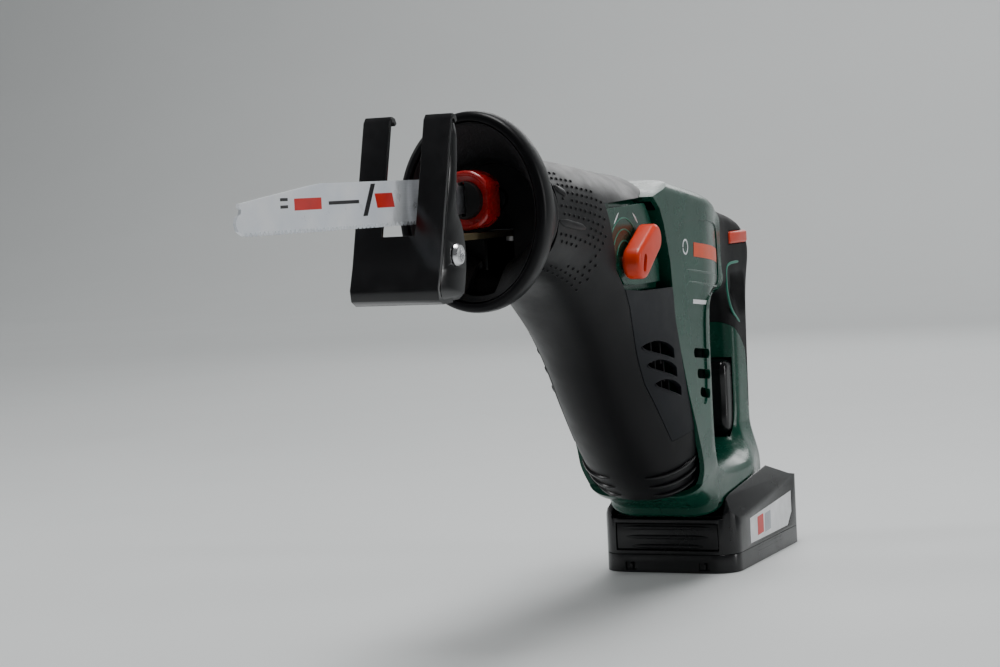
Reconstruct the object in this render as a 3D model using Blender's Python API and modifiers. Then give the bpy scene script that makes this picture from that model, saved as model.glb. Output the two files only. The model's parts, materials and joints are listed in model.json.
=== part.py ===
"""Cordless reciprocating saw: a D-handled body with an inclined motor, a scotch-yoke plunger
that drives the blade, a pivoting foot and a slide-on battery.

The origin is the centre of the battery's flat underside.  +X points along the blade, +Y is the
user's left (the side with the blade-release lever) and +Z is up.  Lengths are in millimetres
in the code and are turned into metres where meshes are made.
"""
import bpy
import bmesh
import math
from mathutils import Matrix, Vector

MM = 0.001
GAP = 0.3                      # clearance left between neighbouring pieces
WALL = 2.6                     # thickness of the moulded shells
FLAT_ANGLE = math.radians(2.0)

# Battery pack
BATTERY_LENGTH = 117.0
BATTERY_WIDTH = 77.0
TRAY_TOP = 9.7
DECK_TOP = 22.8
PANEL_TOP = 29.0
EAR_WIDTH = 6.6                # thickness of the two raised sides
SHOULDER_EDGE = 34.0           # height where the chamfer of a raised side starts, above the middle
SHOULDER_SLOPE = math.radians(6.5)
SHOULDER_CHAMFER = math.radians(28)
FRONT_CORNER = 13.0            # radius of the pack's upright corners in front
REAR_CORNER = 5.0              # and behind
RELEASE_HALF = 29.0            # half width of the release panel
RELEASE_BARS = (25.4, 23.4, 20.2)
RELEASE_BAR_TOP = 24.4
RELEASE_BAR_PITCH = 5.1
CELL_RADIUS = 9.2
CELL_LENGTH = 65.2
CELL_COUNT = 5
CELL_PITCH = 19.4

# Housing and handle
BODY_HALF_WIDTH = 35.0
HANDLE_HALF_WIDTH = 16.5
SLAB_HALF = 16.0               # half thickness of the slab before it is widened
SLAB_ROUND = 8.0
HOUSING_FLOOR = 30.2

# Drive train
MOTOR_TILT = math.radians(49.5)
MOTOR_FOOT = (90.0, 73.0)      # a point on the motor's axis, in x and z
MOTOR_RADIUS = 18.5
CAN_START = 20.0
CAN_END = 88.0
PLUNGER_HEIGHT = 207.0
PLUNGER_RADIUS = 5.0
STROKE = 20.0
SLEEVE_FLAT = 10.8             # half width across the release sleeve's flat sides
CRANK_TEETH = 30
PINION_TEETH = 9
CRANK_MESH_RADIUS = 20.0
PINION_MESH_RADIUS = 6.0
CRANK_CENTRE = (178.9, 177.0)  # on the motor's axis, in x and z
CRANK_FACE = -7.2              # y of the crank gear's toothed face

# Blade, guard and foot
BLADE_TIP = 497.0
BLADE_ROOT = 281.0
BLADE_HEIGHT = 19.0
BLADE_THICKNESS = 1.25
RING_FRONT = 290.0
FOOT_PIVOT = (350.0, 184.6)
FOOT_HALF_WIDTH = 20.5
SHEET = 2.0                    # foot's sheet thickness
BRACKET_SCREW = 245.0          # x of the screw that holds the foot's bracket

# Controls
LEVER_PIVOT = (181.0, 173.0)
LEVER_TIP = (163.2, 183.6)
DIAL_FACE = 31.0
LEVER_IN = 32.0
LEVER_OUT = 41.5
TRIGGER_TRAVEL = 6.0
COIL_LENGTH = 8.6
TRIGGER_HALF = 13.2
TRIGGER_REAR = -28.0
SWITCH_FRONT = TRIGGER_REAR - TRIGGER_TRAVEL - 1.2

COLOURS = {
    "green_plastic": ((0.006, 0.075, 0.048), 0.38, 0.0),
    "black_rubber": ((0.018, 0.018, 0.021), 0.62, 0.0),
    "black_plastic": ((0.012, 0.012, 0.014), 0.32, 0.0),
    "charcoal_plastic": ((0.026, 0.029, 0.036), 0.46, 0.0),
    "orange_plastic": ((0.80, 0.055, 0.008), 0.35, 0.0),
    "red_plastic": ((0.55, 0.012, 0.010), 0.30, 0.0),
    "steel": ((0.55, 0.55, 0.56), 0.30, 1.0),
    "black_steel": ((0.012, 0.012, 0.013), 0.30, 0.6),
    "bright_steel": ((0.80, 0.80, 0.80), 0.16, 1.0),
    "olive_steel": ((0.26, 0.21, 0.12), 0.38, 1.0),
    "aluminium": ((0.62, 0.63, 0.64), 0.45, 1.0),
    "copper": ((0.70, 0.30, 0.16), 0.35, 1.0),
    "brass": ((0.70, 0.52, 0.20), 0.35, 1.0),
    "white_label": ((0.85, 0.85, 0.86), 0.45, 0.0),
    "cell_wrap": ((0.05, 0.22, 0.55), 0.45, 0.0),
    "blade_paint": ((0.72, 0.76, 0.84), 0.35, 0.0),
}

for stale in list(bpy.data.objects):
    bpy.data.objects.remove(stale, do_unlink=True)

PARTS = bpy.data.collections.new("reciprocating_saw")
CUTTERS = bpy.data.collections.new("cutters")
bpy.context.scene.collection.children.link(PARTS)
bpy.context.scene.collection.children.link(CUTTERS)


# ---------------------------------------------------------------- small tools

def material(name):
    """The Principled material of one kind of surface."""
    made = bpy.data.materials.get(name)
    if made:
        return made
    colour, roughness, metallic = COLOURS[name]
    made = bpy.data.materials.new(name)
    made.use_nodes = True
    shader = made.node_tree.nodes["Principled BSDF"]
    shader.inputs["Base Color"].default_value = (*colour, 1.0)
    shader.inputs["Roughness"].default_value = roughness
    shader.inputs["Metallic"].default_value = metallic
    return made


def tidy_faces(mesh):
    """Merge neighbouring faces that are flat together, so that flat walls have few triangles."""
    shape = bmesh.new()
    shape.from_mesh(mesh)
    bmesh.ops.dissolve_limit(shape, angle_limit=FLAT_ANGLE, verts=shape.verts, edges=shape.edges)
    bmesh.ops.triangulate(shape, faces=shape.faces)
    shape.to_mesh(mesh)
    shape.free()


def finish(obj, name, slot):
    """Name a shape and give it its material, which makes it one of the saw's pieces."""
    tidy_faces(obj.data)
    obj.name = name
    obj.data.name = name
    obj.data.materials.clear()
    obj.data.materials.append(material(slot))
    CUTTERS.objects.unlink(obj)
    PARTS.objects.link(obj)
    obj.hide_render = False
    obj.display_type = "TEXTURED"
    return obj


def from_bmesh(mesh_data, name="shape"):
    """Turn a bmesh in millimetres into an object in the cutters' collection."""
    bmesh.ops.remove_doubles(mesh_data, verts=mesh_data.verts, dist=0.002)
    bmesh.ops.recalc_face_normals(mesh_data, faces=mesh_data.faces)
    bmesh.ops.scale(mesh_data, vec=(MM, MM, MM), verts=mesh_data.verts)
    mesh = bpy.data.meshes.new(name)
    mesh_data.to_mesh(mesh)
    mesh_data.free()
    obj = bpy.data.objects.new(name, mesh)
    CUTTERS.objects.link(obj)
    obj.hide_render = True
    obj.display_type = "WIRE"
    return obj


def baked(obj):
    """Replace an object by a plain mesh of what its modifiers and transform make."""
    graph = bpy.context.evaluated_depsgraph_get()
    graph.update()
    mesh = bpy.data.meshes.new_from_object(obj.evaluated_get(graph))
    mesh.transform(obj.matrix_world)
    shape = bmesh.new()
    shape.from_mesh(mesh)
    bmesh.ops.remove_doubles(shape, verts=shape.verts, dist=0.000002)
    bmesh.ops.dissolve_degenerate(shape, dist=0.000002, edges=shape.edges)
    shape.to_mesh(mesh)
    shape.free()
    solid = bpy.data.objects.new(obj.name, mesh)
    CUTTERS.objects.link(solid)
    solid.hide_render = True
    solid.display_type = "WIRE"
    bpy.data.objects.remove(obj, do_unlink=True)
    return solid


def combine(target, others, operation):
    """Cut, join or intersect a shape with others, and keep the result as a plain mesh."""
    for other in others:
        step = target.modifiers.new("combine", "BOOLEAN")
        step.operation = operation
        step.object = other
    solid = baked(target)
    for other in others:
        bpy.data.objects.remove(other, do_unlink=True)
    return solid


def cut(target, *others):
    return combine(target, others, "DIFFERENCE")


def join(target, *others):
    return combine(target, others, "UNION")


def keep_inside(target, *others):
    return combine(target, others, "INTERSECT")


def copy_of(obj):
    twin = obj.copy()
    twin.data = obj.data.copy()
    CUTTERS.objects.link(twin)
    return twin


def mirrored(obj):
    """The same shape on the other side of the middle plane."""
    twin = copy_of(obj)
    twin.data.transform(Matrix.Diagonal((1, -1, 1, 1)))
    twin.data.flip_normals()
    return twin


def box(low, high):
    shape = bmesh.new()
    bmesh.ops.create_cube(shape, size=1.0)
    for corner in shape.verts:
        for axis in range(3):
            corner.co[axis] = high[axis] if corner.co[axis] > 0 else low[axis]
    return from_bmesh(shape)


def bar(start, end, radius, sides=24, end_radius=None):
    """A straight round bar or cone between two points."""
    start, end = Vector(start), Vector(end)
    along = end - start
    shape = bmesh.new()
    place = Matrix.Translation((start + end) / 2) @ along.to_track_quat("Z", "Y").to_matrix().to_4x4()
    far = radius if end_radius is None else end_radius
    bmesh.ops.create_cone(shape, cap_ends=True, segments=sides, radius1=radius, radius2=far,
                          depth=along.length, matrix=place)
    return from_bmesh(shape)


def turned(start, along, profile, sides=24):
    """A turned piece: (radius, distance) points on its outer side, swept round an axis."""
    mesh = bpy.data.meshes.new("profile")
    points = [(radius * MM, 0, distance * MM) for radius, distance in profile]
    closed = profile[0][0] > 0
    edges = [(i, i + 1) for i in range(len(points) - 1)]
    if closed:
        edges.append((len(points) - 1, 0))
    mesh.from_pydata(points, edges, [])
    obj = bpy.data.objects.new("turned", mesh)
    CUTTERS.objects.link(obj)
    sweep = obj.modifiers.new("sweep", "SCREW")
    sweep.steps = sides
    sweep.render_steps = sides
    sweep.use_merge_vertices = True
    sweep.merge_threshold = 0.00001
    sweep.use_normal_calculate = True
    turn = Vector(along).to_track_quat("Z", "Y").to_matrix().to_4x4()
    obj.matrix_world = Matrix.Translation(Vector(start) * MM) @ turn
    solid = baked(obj)
    shape = bmesh.new()
    shape.from_mesh(solid.data)
    bmesh.ops.recalc_face_normals(shape, faces=shape.faces)
    shape.to_mesh(solid.data)
    shape.free()
    return solid


def ring(start, along, inner, outer, length, sides=24):
    """A plain round tube that runs a given length from its start."""
    return turned(start, along, [(inner, 0), (inner, length), (outer, length), (outer, 0)], sides)


def arc(centre, radius, first, last, count):
    """Points on a round stretch of an outline, angles in degrees."""
    turn = [math.radians(first + (last - first) * i / (count - 1)) for i in range(count)]
    return [(centre[0] + radius * math.cos(a), centre[1] + radius * math.sin(a)) for a in turn]


def stadium(start, end, start_radius, end_radius, count=7):
    """The outline of a bar with two round ends."""
    heading = math.degrees(math.atan2(end[1] - start[1], end[0] - start[0]))
    return (arc(end, end_radius, heading - 90, heading + 90, count)
            + arc(start, start_radius, heading + 90, heading + 270, count))


def plate(outlines, y_low, y_high, rounding=0.0, steps=2, inset=0.0):
    """Flat outlines in x and z, the later ones being holes, with a thickness along y."""
    curve = bpy.data.curves.new("outline", "CURVE")
    curve.dimensions = "2D"
    curve.fill_mode = "BOTH"
    for outline in outlines:
        spline = curve.splines.new("POLY")
        spline.points.add(len(outline) - 1)
        for point, (x, z) in zip(spline.points, outline):
            point.co = (x * MM, z * MM, 0, 1)
        spline.use_cyclic_u = True
    curve.extrude = ((y_high - y_low) / 2 - rounding) * MM
    curve.bevel_depth = rounding * MM
    curve.bevel_resolution = steps
    curve.offset = -(rounding + inset) * MM
    obj = bpy.data.objects.new("plate", curve)
    CUTTERS.objects.link(obj)
    obj.matrix_world = (Matrix.Translation((0, (y_high + y_low) / 2 * MM, 0))
                        @ Matrix.Rotation(math.radians(90), 4, "X"))
    solid = baked(obj)
    shape = bmesh.new()
    shape.from_mesh(solid.data)
    bmesh.ops.remove_doubles(shape, verts=shape.verts, dist=0.00002)
    bmesh.ops.recalc_face_normals(shape, faces=shape.faces)
    shape.to_mesh(solid.data)
    shape.free()
    return solid


def blend(value, low, high):
    """Smooth step from 0 at low to 1 at high."""
    t = min(1.0, max(0.0, (value - low) / (high - low)))
    return t * t * (3 - 2 * t)


def smooth_outline(points, passes=1):
    """Round a coarse outline by cutting its corners."""
    for _ in range(passes):
        rounded = []
        for here, following in zip(points, points[1:] + points[:1]):
            rounded.append((here[0] * 0.78 + following[0] * 0.22, here[1] * 0.78 + following[1] * 0.22))
            rounded.append((here[0] * 0.22 + following[0] * 0.78, here[1] * 0.22 + following[1] * 0.78))
        points = rounded
    return points


# ---------------------------------------------------------------- body shapes

# Nose and barrel: the highest and lowest point (x, z) and half width of each section.
NOSE_SECTIONS = [
    ((262, 226), (262, 172), 31.0),
    ((240, 225), (243, 168), 31.5),
    ((215, 223.5), (222, 161), 32.5),
    ((190, 221), (203, 150), 33.5),
    ((160, 218), (187, 138), 34.5),
    ((128, 214.5), (171, 123), 35.0),
    ((100, 200), (158, 107), 35.0),
    ((84, 174), (141, 86), 35.0),
    ((68, 142), (120, 64), 35.0),
    ((56, 116), (105, 51), 34.0),
    ((50, 98), (93, 43.5), 31.5),
    ((45, 84), (80, 38), 28.0),
]
SECTION_POWER = 2.35

REAR_OUTLINE = [
    (166, 218.6), (128, 214.5), (71, 207), (8, 197), (-30, 191), (-44, 187.5), (-54, 181.5), (-59, 173.5),
    (-58.5, 164), (-54, 153), (-51, 140), (-50, 100), (-49.5, 74), (-52, 62), (-58, 50),
    (-58, HOUSING_FLOOR), (58, HOUSING_FLOOR), (63, 34), (72, 38), (90, 44), (128, 80), (166, 140),
]
D_OPENING = [
    (66, 140), (60, 147), (20, 149.5), (-8, 149), (-17, 142), (-19, 128), (-19.5, 84), (-17, 70),
    (-8, 62), (10, 59), (40, 59), (58, 61), (66, 69),
]
SEAM = [
    (60, 221), (88, 217.5), (150, 204), (141, 198), (136, 190), (129, 171), (125, 141), (118, 122),
    (110, 103), (101, 86), (94, 71), (90, 60), (76, 50), (62, 40.5), (40, 30),
]
# Openings in the black cover's sides: their front edge, and how far they run behind the seam.
NOTCH_FRONT = [(184, 160), (196, 170), (202, 186), (206, 202)]
NOTCH_REAR = [(150, 203.7), (124, 204)]
PANEL_FRONT = [(116, 78), (131, 94), (146, 110), (157, 125), (166, 138), (175, 150)]
PANEL_REAR = [(116, 158), (113, 141), (106, 122), (98, 103), (90, 85.5)]
DIAL_OUTLINE = [(203, 199.6), (151, 201), (145, 195), (140.5, 188), (134, 170), (134, 161.5), (166, 161.2),
                (183, 162.4), (193, 171.5), (199.4, 187)]
GRIP_BOTTOM = 73
GRIP_REGION = [
    (1, 200), (3, 176), (1.5, 164), (-8, 147), (-16, 132), (-33, 121), (-42, 112), (-42, GRIP_BOTTOM),
    (-90, GRIP_BOTTOM), (-90, 200),
]
HOUSING_SCREWS = [(100, 192), (20, 172), (-38, 60), (36, 46)]

WIDTH_LINES_X = (-50, -25, -5, 15, 35, 55, 75)     # where the sides' slope changes
WIDTH_LINES_Z = (46, 53, 59, 66, 74)


def half_width(x, z):
    """Half the width of the rear body at a place on its side, in millimetres."""
    bridge = HANDLE_HALF_WIDTH + (BODY_HALF_WIDTH - HANDLE_HALF_WIDTH) * blend(x, -18, 74)
    base = 19 + 12 * blend(x, -56, 4)
    base += (BODY_HALF_WIDTH - 31) * blend(z, 46, 66) * blend(x, 20, 60)
    low = 1 - blend(z, 50, 74)
    return base * low + bridge * (1 - low)


def widened_slab(inset):
    """The rear body: a rounded slab whose sides are moved out to the body's width."""
    solid = plate([smooth_outline(REAR_OUTLINE), smooth_outline(D_OPENING)[::-1]],
                  -SLAB_HALF, SLAB_HALF, SLAB_ROUND, 1, inset)
    shape = bmesh.new()
    shape.from_mesh(solid.data)
    for axis, places in (((1, 0, 0), WIDTH_LINES_X), ((0, 0, 1), WIDTH_LINES_Z)):
        for place in places:
            everything = list(shape.verts) + list(shape.edges) + list(shape.faces)
            bmesh.ops.bisect_plane(shape, geom=everything, plane_no=axis,
                                   plane_co=[place * MM * a for a in axis], dist=0.00001)
    bmesh.ops.triangulate(shape, faces=shape.faces)
    for point in shape.verts:
        width = half_width(point.co.x / MM, point.co.z / MM) - inset
        point.co.y *= width / SLAB_HALF
    shape.to_mesh(solid.data)
    shape.free()
    return solid


def lofted(rings):
    """A closed skin over a run of rings that all have the same number of points."""
    shape = bmesh.new()
    rows = [[shape.verts.new(point) for point in points] for points in rings]
    for near, far in zip(rows, rows[1:]):
        for i in range(len(near)):
            j = (i + 1) % len(near)
            shape.faces.new((near[i], near[j], far[j], far[i]))
    shape.faces.new(rows[0])
    shape.faces.new(rows[-1])
    bmesh.ops.triangulate(shape, faces=shape.faces)
    return from_bmesh(shape)


def section(top, bottom, width, sides, shrink=0.0, power=SECTION_POWER):
    """One ring of the nose: a rounded box between its highest and lowest points."""
    centre = ((top[0] + bottom[0]) / 2, (top[1] + bottom[1]) / 2)
    reach = math.dist(top, bottom) / 2 - shrink
    up = ((top[0] - bottom[0]) / math.dist(top, bottom), (top[1] - bottom[1]) / math.dist(top, bottom))
    points = []
    for i in range(sides):
        angle = 2 * math.pi * (i + 0.5) / sides
        high = math.copysign(abs(math.cos(angle)) ** (2 / power), math.cos(angle)) * reach
        wide = math.copysign(abs(math.sin(angle)) ** (2 / power), math.sin(angle)) * (width - shrink)
        points.append((centre[0] + up[0] * high, wide, centre[1] + up[1] * high))
    return points


def nose_solid(shrink=0.0, sides=28):
    """The nose and barrel as one solid, its skin moved inwards by a given distance."""
    rings = [section(top, bottom, width, sides, shrink) for top, bottom, width in NOSE_SECTIONS]
    if shrink:
        rings.insert(0, section((278, 226), (278, 172), 31.0, sides, shrink))
        rings.append(section((36, 66), (65, 27), 24.0, sides, shrink))
    return lofted(rings)


def seam_region(gap):
    """Everything behind the line where the green rear housings meet the black front cover."""
    far_rear = [(-120, 30), (-120, 240), (60, 240)]
    line = [(x - gap, z) for x, z in SEAM]
    return plate([far_rear[::-1] + line[::-1]], -60, 60)


def shrunk(points, distance):
    """An outline moved a little towards its middle."""
    middle = (sum(p[0] for p in points) / len(points), sum(p[1] for p in points) / len(points))
    result = []
    for x, z in points:
        reach = math.dist((x, z), middle)
        result.append((x + (middle[0] - x) * distance / reach, z + (middle[1] - z) * distance / reach))
    return result


def slanted_slot(centre, length, height, lean, y_low, y_high):
    """A long vent with round ends, leaning up towards the front."""
    reach = length / 2 - height / 2
    way = (math.cos(lean) * reach, math.sin(lean) * reach)
    return plate([stadium((centre[0] - way[0], centre[1] - way[1]), (centre[0] + way[0], centre[1] + way[1]),
                          height / 2, height / 2, 5)], y_low, y_high)


VENTS = [((141.5, 127.4), 31, 6.6, 0.16), ((136, 117.6), 28, 6.4, 0.2), ((128.6, 107.2), 26, 6.2, 0.23)]
HOUSING_SLOTS = [((86, 121), 22, 5.0, 0.1), ((84, 110), 18, 5.0, 0.12), ((83, 100), 13, 5.0, 0.2)]


def build_housings():
    """The two green clamshells, their screws and the soft grip that fills their rear upper corner."""
    shell = cut(widened_slab(0.0), widened_slab(WALL))
    shell = keep_inside(shell, seam_region(GAP))
    # The slide-on battery shoe and the trigger come through the shell.
    shell = cut(shell, box((-70, -40, 20), (90, 40, HOUSING_FLOOR + 0.01)))
    grip = keep_inside(copy_of(shell), plate([GRIP_REGION], -60, 60))
    opening = [(x + GAP, z - GAP if z == GRIP_BOTTOM else z) for x, z in GRIP_REGION]
    shell = cut(shell, plate([opening], -61, 61))
    slot = TRIGGER_HALF + GAP
    shell = cut(shell, box((-30, -slot, 65.7), (-8, slot, 110.3)))
    grip = cut(grip, plate([[(-50.4, 174), (-19, 174), (-19, 181.8), (-50.4, 181.8)]], -60, 60))
    finish(grip, "handle_grip", "black_rubber")
    for centre, length, height, lean in HOUSING_SLOTS:
        shell = cut(shell, slanted_slot(centre, length, height, lean, -60, 60))
    left = cut(copy_of(shell), box((-200, -100, -100), (300, 0.15, 300)))
    right = cut(shell, box((-200, -0.15, -100), (300, 100, 300)))
    for index, (x, z) in enumerate(HOUSING_SCREWS, 1):
        depth = half_width(x, z)
        right = cut(right, bar((x, -depth - 6, z), (x, -depth + 6, z), 3.4, 12))
        screw = join(bar((x, -depth + 1.2, z), (x, -depth + 3.4, z), 3.0, 16),
                     bar((x, -depth + 3.2, z), (x, -depth + 15, z), 1.5, 10))
        finish(screw, "housing_screw_%d" % index, "steel")
    finish(left, "housing_left", "green_plastic")
    finish(right, "housing_right", "green_plastic")


def build_front_cover():
    """The black cover over the nose and motor, its two vent panels and the lever's dial plate."""
    shell = cut(cut(nose_solid(), nose_solid(WALL)), seam_region(0.0))
    window = PANEL_FRONT + NOTCH_FRONT[:1] + [(166, 158.5)] + PANEL_REAR
    panel = keep_inside(copy_of(shell), plate([shrunk(window, GAP)], 10, 60))
    for centre, length, height, lean in VENTS:
        panel = cut(panel, slanted_slot(centre, length, height, lean, 0, 60))
    finish(mirrored(panel), "vent_panel_right", "charcoal_plastic")
    finish(panel, "vent_panel_left", "charcoal_plastic")
    shell = cut(shell, plate([window], -70, -8))
    shell = cut(shell, plate([PANEL_FRONT + NOTCH_FRONT + NOTCH_REAR + PANEL_REAR], 8, 70))
    shell = cut(shell, box((240, -7.4, 150), (280, 7.4, 183)))
    finish(shell, "front_cover", "black_rubber")
    dial = plate([DIAL_OUTLINE], DIAL_FACE - 3.2, DIAL_FACE - GAP)
    dial = cut(dial, bar((LEVER_PIVOT[0], 20, LEVER_PIVOT[1]), (LEVER_PIVOT[0], 40, LEVER_PIVOT[1]), 3.3, 16))
    finish(dial, "lever_dial_plate", "green_plastic")


def oval_band(stations, sides=40):
    """A band swept round the nose: stations are (x, half width, half height, centre height)."""
    shape = bmesh.new()
    rows = []
    for x, wide, high, middle in stations:
        row = []
        for i in range(sides):
            angle = 2 * math.pi * i / sides
            row.append(shape.verts.new((x, wide * math.sin(angle), middle + high * math.cos(angle))))
        rows.append(row)
    for near, far in zip(rows, rows[1:] + rows[:1]):
        for i in range(sides):
            j = (i + 1) % sides
            shape.faces.new((near[i], near[j], far[j], far[i]))
    return from_bmesh(shape)


def build_guard():
    """The oval collar round the mouth of the nose, and the funnel inside it."""
    collar = oval_band([
        (262.4, 31.0, 27.4, 199.2), (270, 32.0, 30.5, 199.8), (276, 35.2, 43.0, 201.3),
        (280, 36.3, 45.2, 201.5), (287, 36.5, 45.5, 201.5), (RING_FRONT, 34.4, 43.4, 201.5),
        (289.4, 31.8, 40.8, 201.5), (284, 31.2, 40.2, 201.5), (276, 30.0, 37.0, 201.2),
        (270, 28.8, 27.6, 199.8), (262.4, 28.6, 24.9, 199.2),
    ])
    finish(collar, "guard_collar", "black_rubber")
    funnel = oval_band([
        (288.6, 31.2, 40.2, 201.5), (284, 30.8, 39.8, 201.5), (276.4, 29.6, 36.4, 201.2),
        (270.6, 28.2, 27.2, 199.8), (264, 28.2, 24.4, 199.2), (264, 22.5, 23.0, 200.5),
        (272, 24.6, 26.0, 200.5), (280, 27.4, 34.5, 201.2),
    ])
    funnel = cut(funnel, box((255, -7.4, 150), (284, 7.4, 184)))
    finish(funnel, "guard_funnel", "black_rubber")


# ---------------------------------------------------------------- drive train

def on_motor(distance, side=0.0):
    """A point on the motor's axis, or beside it in the middle plane."""
    return (MOTOR_FOOT[0] + math.cos(MOTOR_TILT) * distance - math.sin(MOTOR_TILT) * side, 0.0,
            MOTOR_FOOT[1] + math.sin(MOTOR_TILT) * distance + math.cos(MOTOR_TILT) * side)


MOTOR_AXIS = (math.cos(MOTOR_TILT), 0.0, math.sin(MOTOR_TILT))
MESH_DISTANCE = (CRANK_CENTRE[1] - MOTOR_FOOT[1]) / math.sin(MOTOR_TILT) - CRANK_MESH_RADIUS


def build_motor():
    """Can, magnets, end cap, bearings and everything that turns with the shaft."""
    length = CAN_END - CAN_START
    can = turned(on_motor(CAN_START), MOTOR_AXIS, [
        (16.8, 0), (16.8, length - 2), (6.6, length - 2), (6.6, length), (MOTOR_RADIUS, length),
        (MOTOR_RADIUS, 0)], 28)
    finish(can, "motor_can", "steel")
    for side, name in ((1, "left"), (-1, "right")):
        magnet = ring(on_motor(CAN_START + 16), MOTOR_AXIS, 13.2, 16.4, 44, 24)
        keep = box((0, 4, 0), (300, 60, 300)) if side > 0 else box((0, -60, 0), (300, -4, 300))
        finish(keep_inside(magnet, keep), "motor_magnet_" + name, "black_steel")
    cap = turned(on_motor(CAN_START - 7), MOTOR_AXIS, [
        (6.6, 0), (6.6, 6), (15, 6), (15, 7 - GAP), (MOTOR_RADIUS, 7 - GAP), (MOTOR_RADIUS, 2), (14, 0)], 28)
    finish(cap, "motor_end_cap", "black_plastic")
    finish(ring(on_motor(CAN_START - 6.5), MOTOR_AXIS, 2.8, 6.3, 5, 16), "motor_bearing_rear", "bright_steel")
    finish(ring(on_motor(CAN_END - 2), MOTOR_AXIS, 2.8, 6.3, 5, 16), "motor_bearing_front", "bright_steel")
    armature = turned(on_motor(CAN_START + 14), MOTOR_AXIS, [
        (2.8, 0), (2.8, 48), (9, 48), (12.6, 45), (12.6, 3), (9, 0)], 20)
    finish(armature, "armature", "copper")
    finish(ring(on_motor(CAN_START + 1), MOTOR_AXIS, 2.8, 8.0, 11, 20), "commutator", "brass")
    finish(bar(on_motor(CAN_START - 17), on_motor(MESH_DISTANCE + 3), 2.45, 16), "motor_shaft", "steel")
    build_fan()
    build_pinion()


def build_fan():
    """The cooling fan behind the motor: a hub and disc with curved blades."""
    fan = ring(on_motor(CAN_START - 16), MOTOR_AXIS, 2.8, 5.5, 8, 16)
    fan = join(fan, ring(on_motor(CAN_START - 10), MOTOR_AXIS, 4.0, 15.5, 1.6, 24))
    turn = Vector(MOTOR_AXIS).to_track_quat("Z", "Y").to_matrix().to_4x4()
    blades = []
    for i in range(9):
        blade = box((4.5, -0.6, 0.4), (15.0, 0.6, 6.6))
        blade.data.transform(Matrix.Scale(1 / MM, 4))
        place = (Matrix.Translation(on_motor(CAN_START - 16)) @ turn
                 @ Matrix.Rotation(2 * math.pi * i / 9, 4, "Z"))
        blade.data.transform(place)
        blade.data.transform(Matrix.Scale(MM, 4))
        blades.append(blade)
    finish(join(fan, *blades), "motor_fan", "black_plastic")


def build_pinion():
    """Nine teeth round the end of the shaft, one of them pointing straight at the crank gear."""
    outline = []
    for i in range(PINION_TEETH):
        middle = 360.0 * i / PINION_TEETH
        outline += arc((0, 0), 4.4, middle - 15, middle - 13, 2)
        outline += arc((0, 0), 6.6, middle - 5, middle + 5, 2)
        outline += arc((0, 0), 4.4, middle + 13, middle + 15, 2)
    gear = plate([outline, arc((0, 0), 2.75, 360, 30, 12)], -2.0, 2.0)
    # The plate's normal is y; turn it onto the motor's axis with tooth 0 pointing along -y.
    across = Vector((0, -1, 0))
    axis = Vector(MOTOR_AXIS)
    third = across.cross(axis)
    turn = Matrix((across, axis, third)).transposed().to_4x4()
    gear.data.transform(Matrix.Translation(Vector(on_motor(MESH_DISTANCE)) * MM) @ turn)
    finish(gear, "motor_pinion", "steel")


def build_crank():
    """The crown gear on its fixed pin, with the crank pin that works the yoke."""
    cx, cz = CRANK_CENTRE
    gear = turned((cx, CRANK_FACE - 5, cz), (0, 1, 0), [
        (3.3, 0), (3.3, 6.6), (8, 6.6), (8, 5), (16, 5), (16, 3.6), (17.4, 3.6), (17.4, 5), (22, 5), (22, 0.6),
        (21.4, 0)], 40)
    teeth = []
    heading = math.degrees(MOTOR_TILT) + 180
    for i in range(CRANK_TEETH):
        angle = math.radians(heading + 360.0 * (i + 0.5) / CRANK_TEETH)
        tooth = box((17.6, -0.75, 0), (21.9, 0.75, 2.4))
        turn = Matrix.Rotation(-angle, 4, "Y") @ Matrix.Rotation(math.radians(-90), 4, "X")
        place = Matrix.Translation(Vector((cx, CRANK_FACE - 0.2, cz)) * MM)
        tooth.data.transform(place @ turn)
        teeth.append(tooth)
    gear = join(gear, *teeth)
    gear = join(gear, bar((cx - STROKE / 2, CRANK_FACE - 4, cz), (cx - STROKE / 2, 3, cz), 2.6, 16))
    finish(gear, "crank_gear", "steel")
    roller = ring((cx - STROKE / 2, CRANK_FACE + 3, cz), (0, 1, 0), 2.9, 3.5, 6.6, 20)
    finish(roller, "crank_roller", "brass")
    finish(bar((cx, -16.4, cz), (cx, -0.8, cz), 3.0, 16), "crank_gear_pin", "bright_steel")


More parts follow.
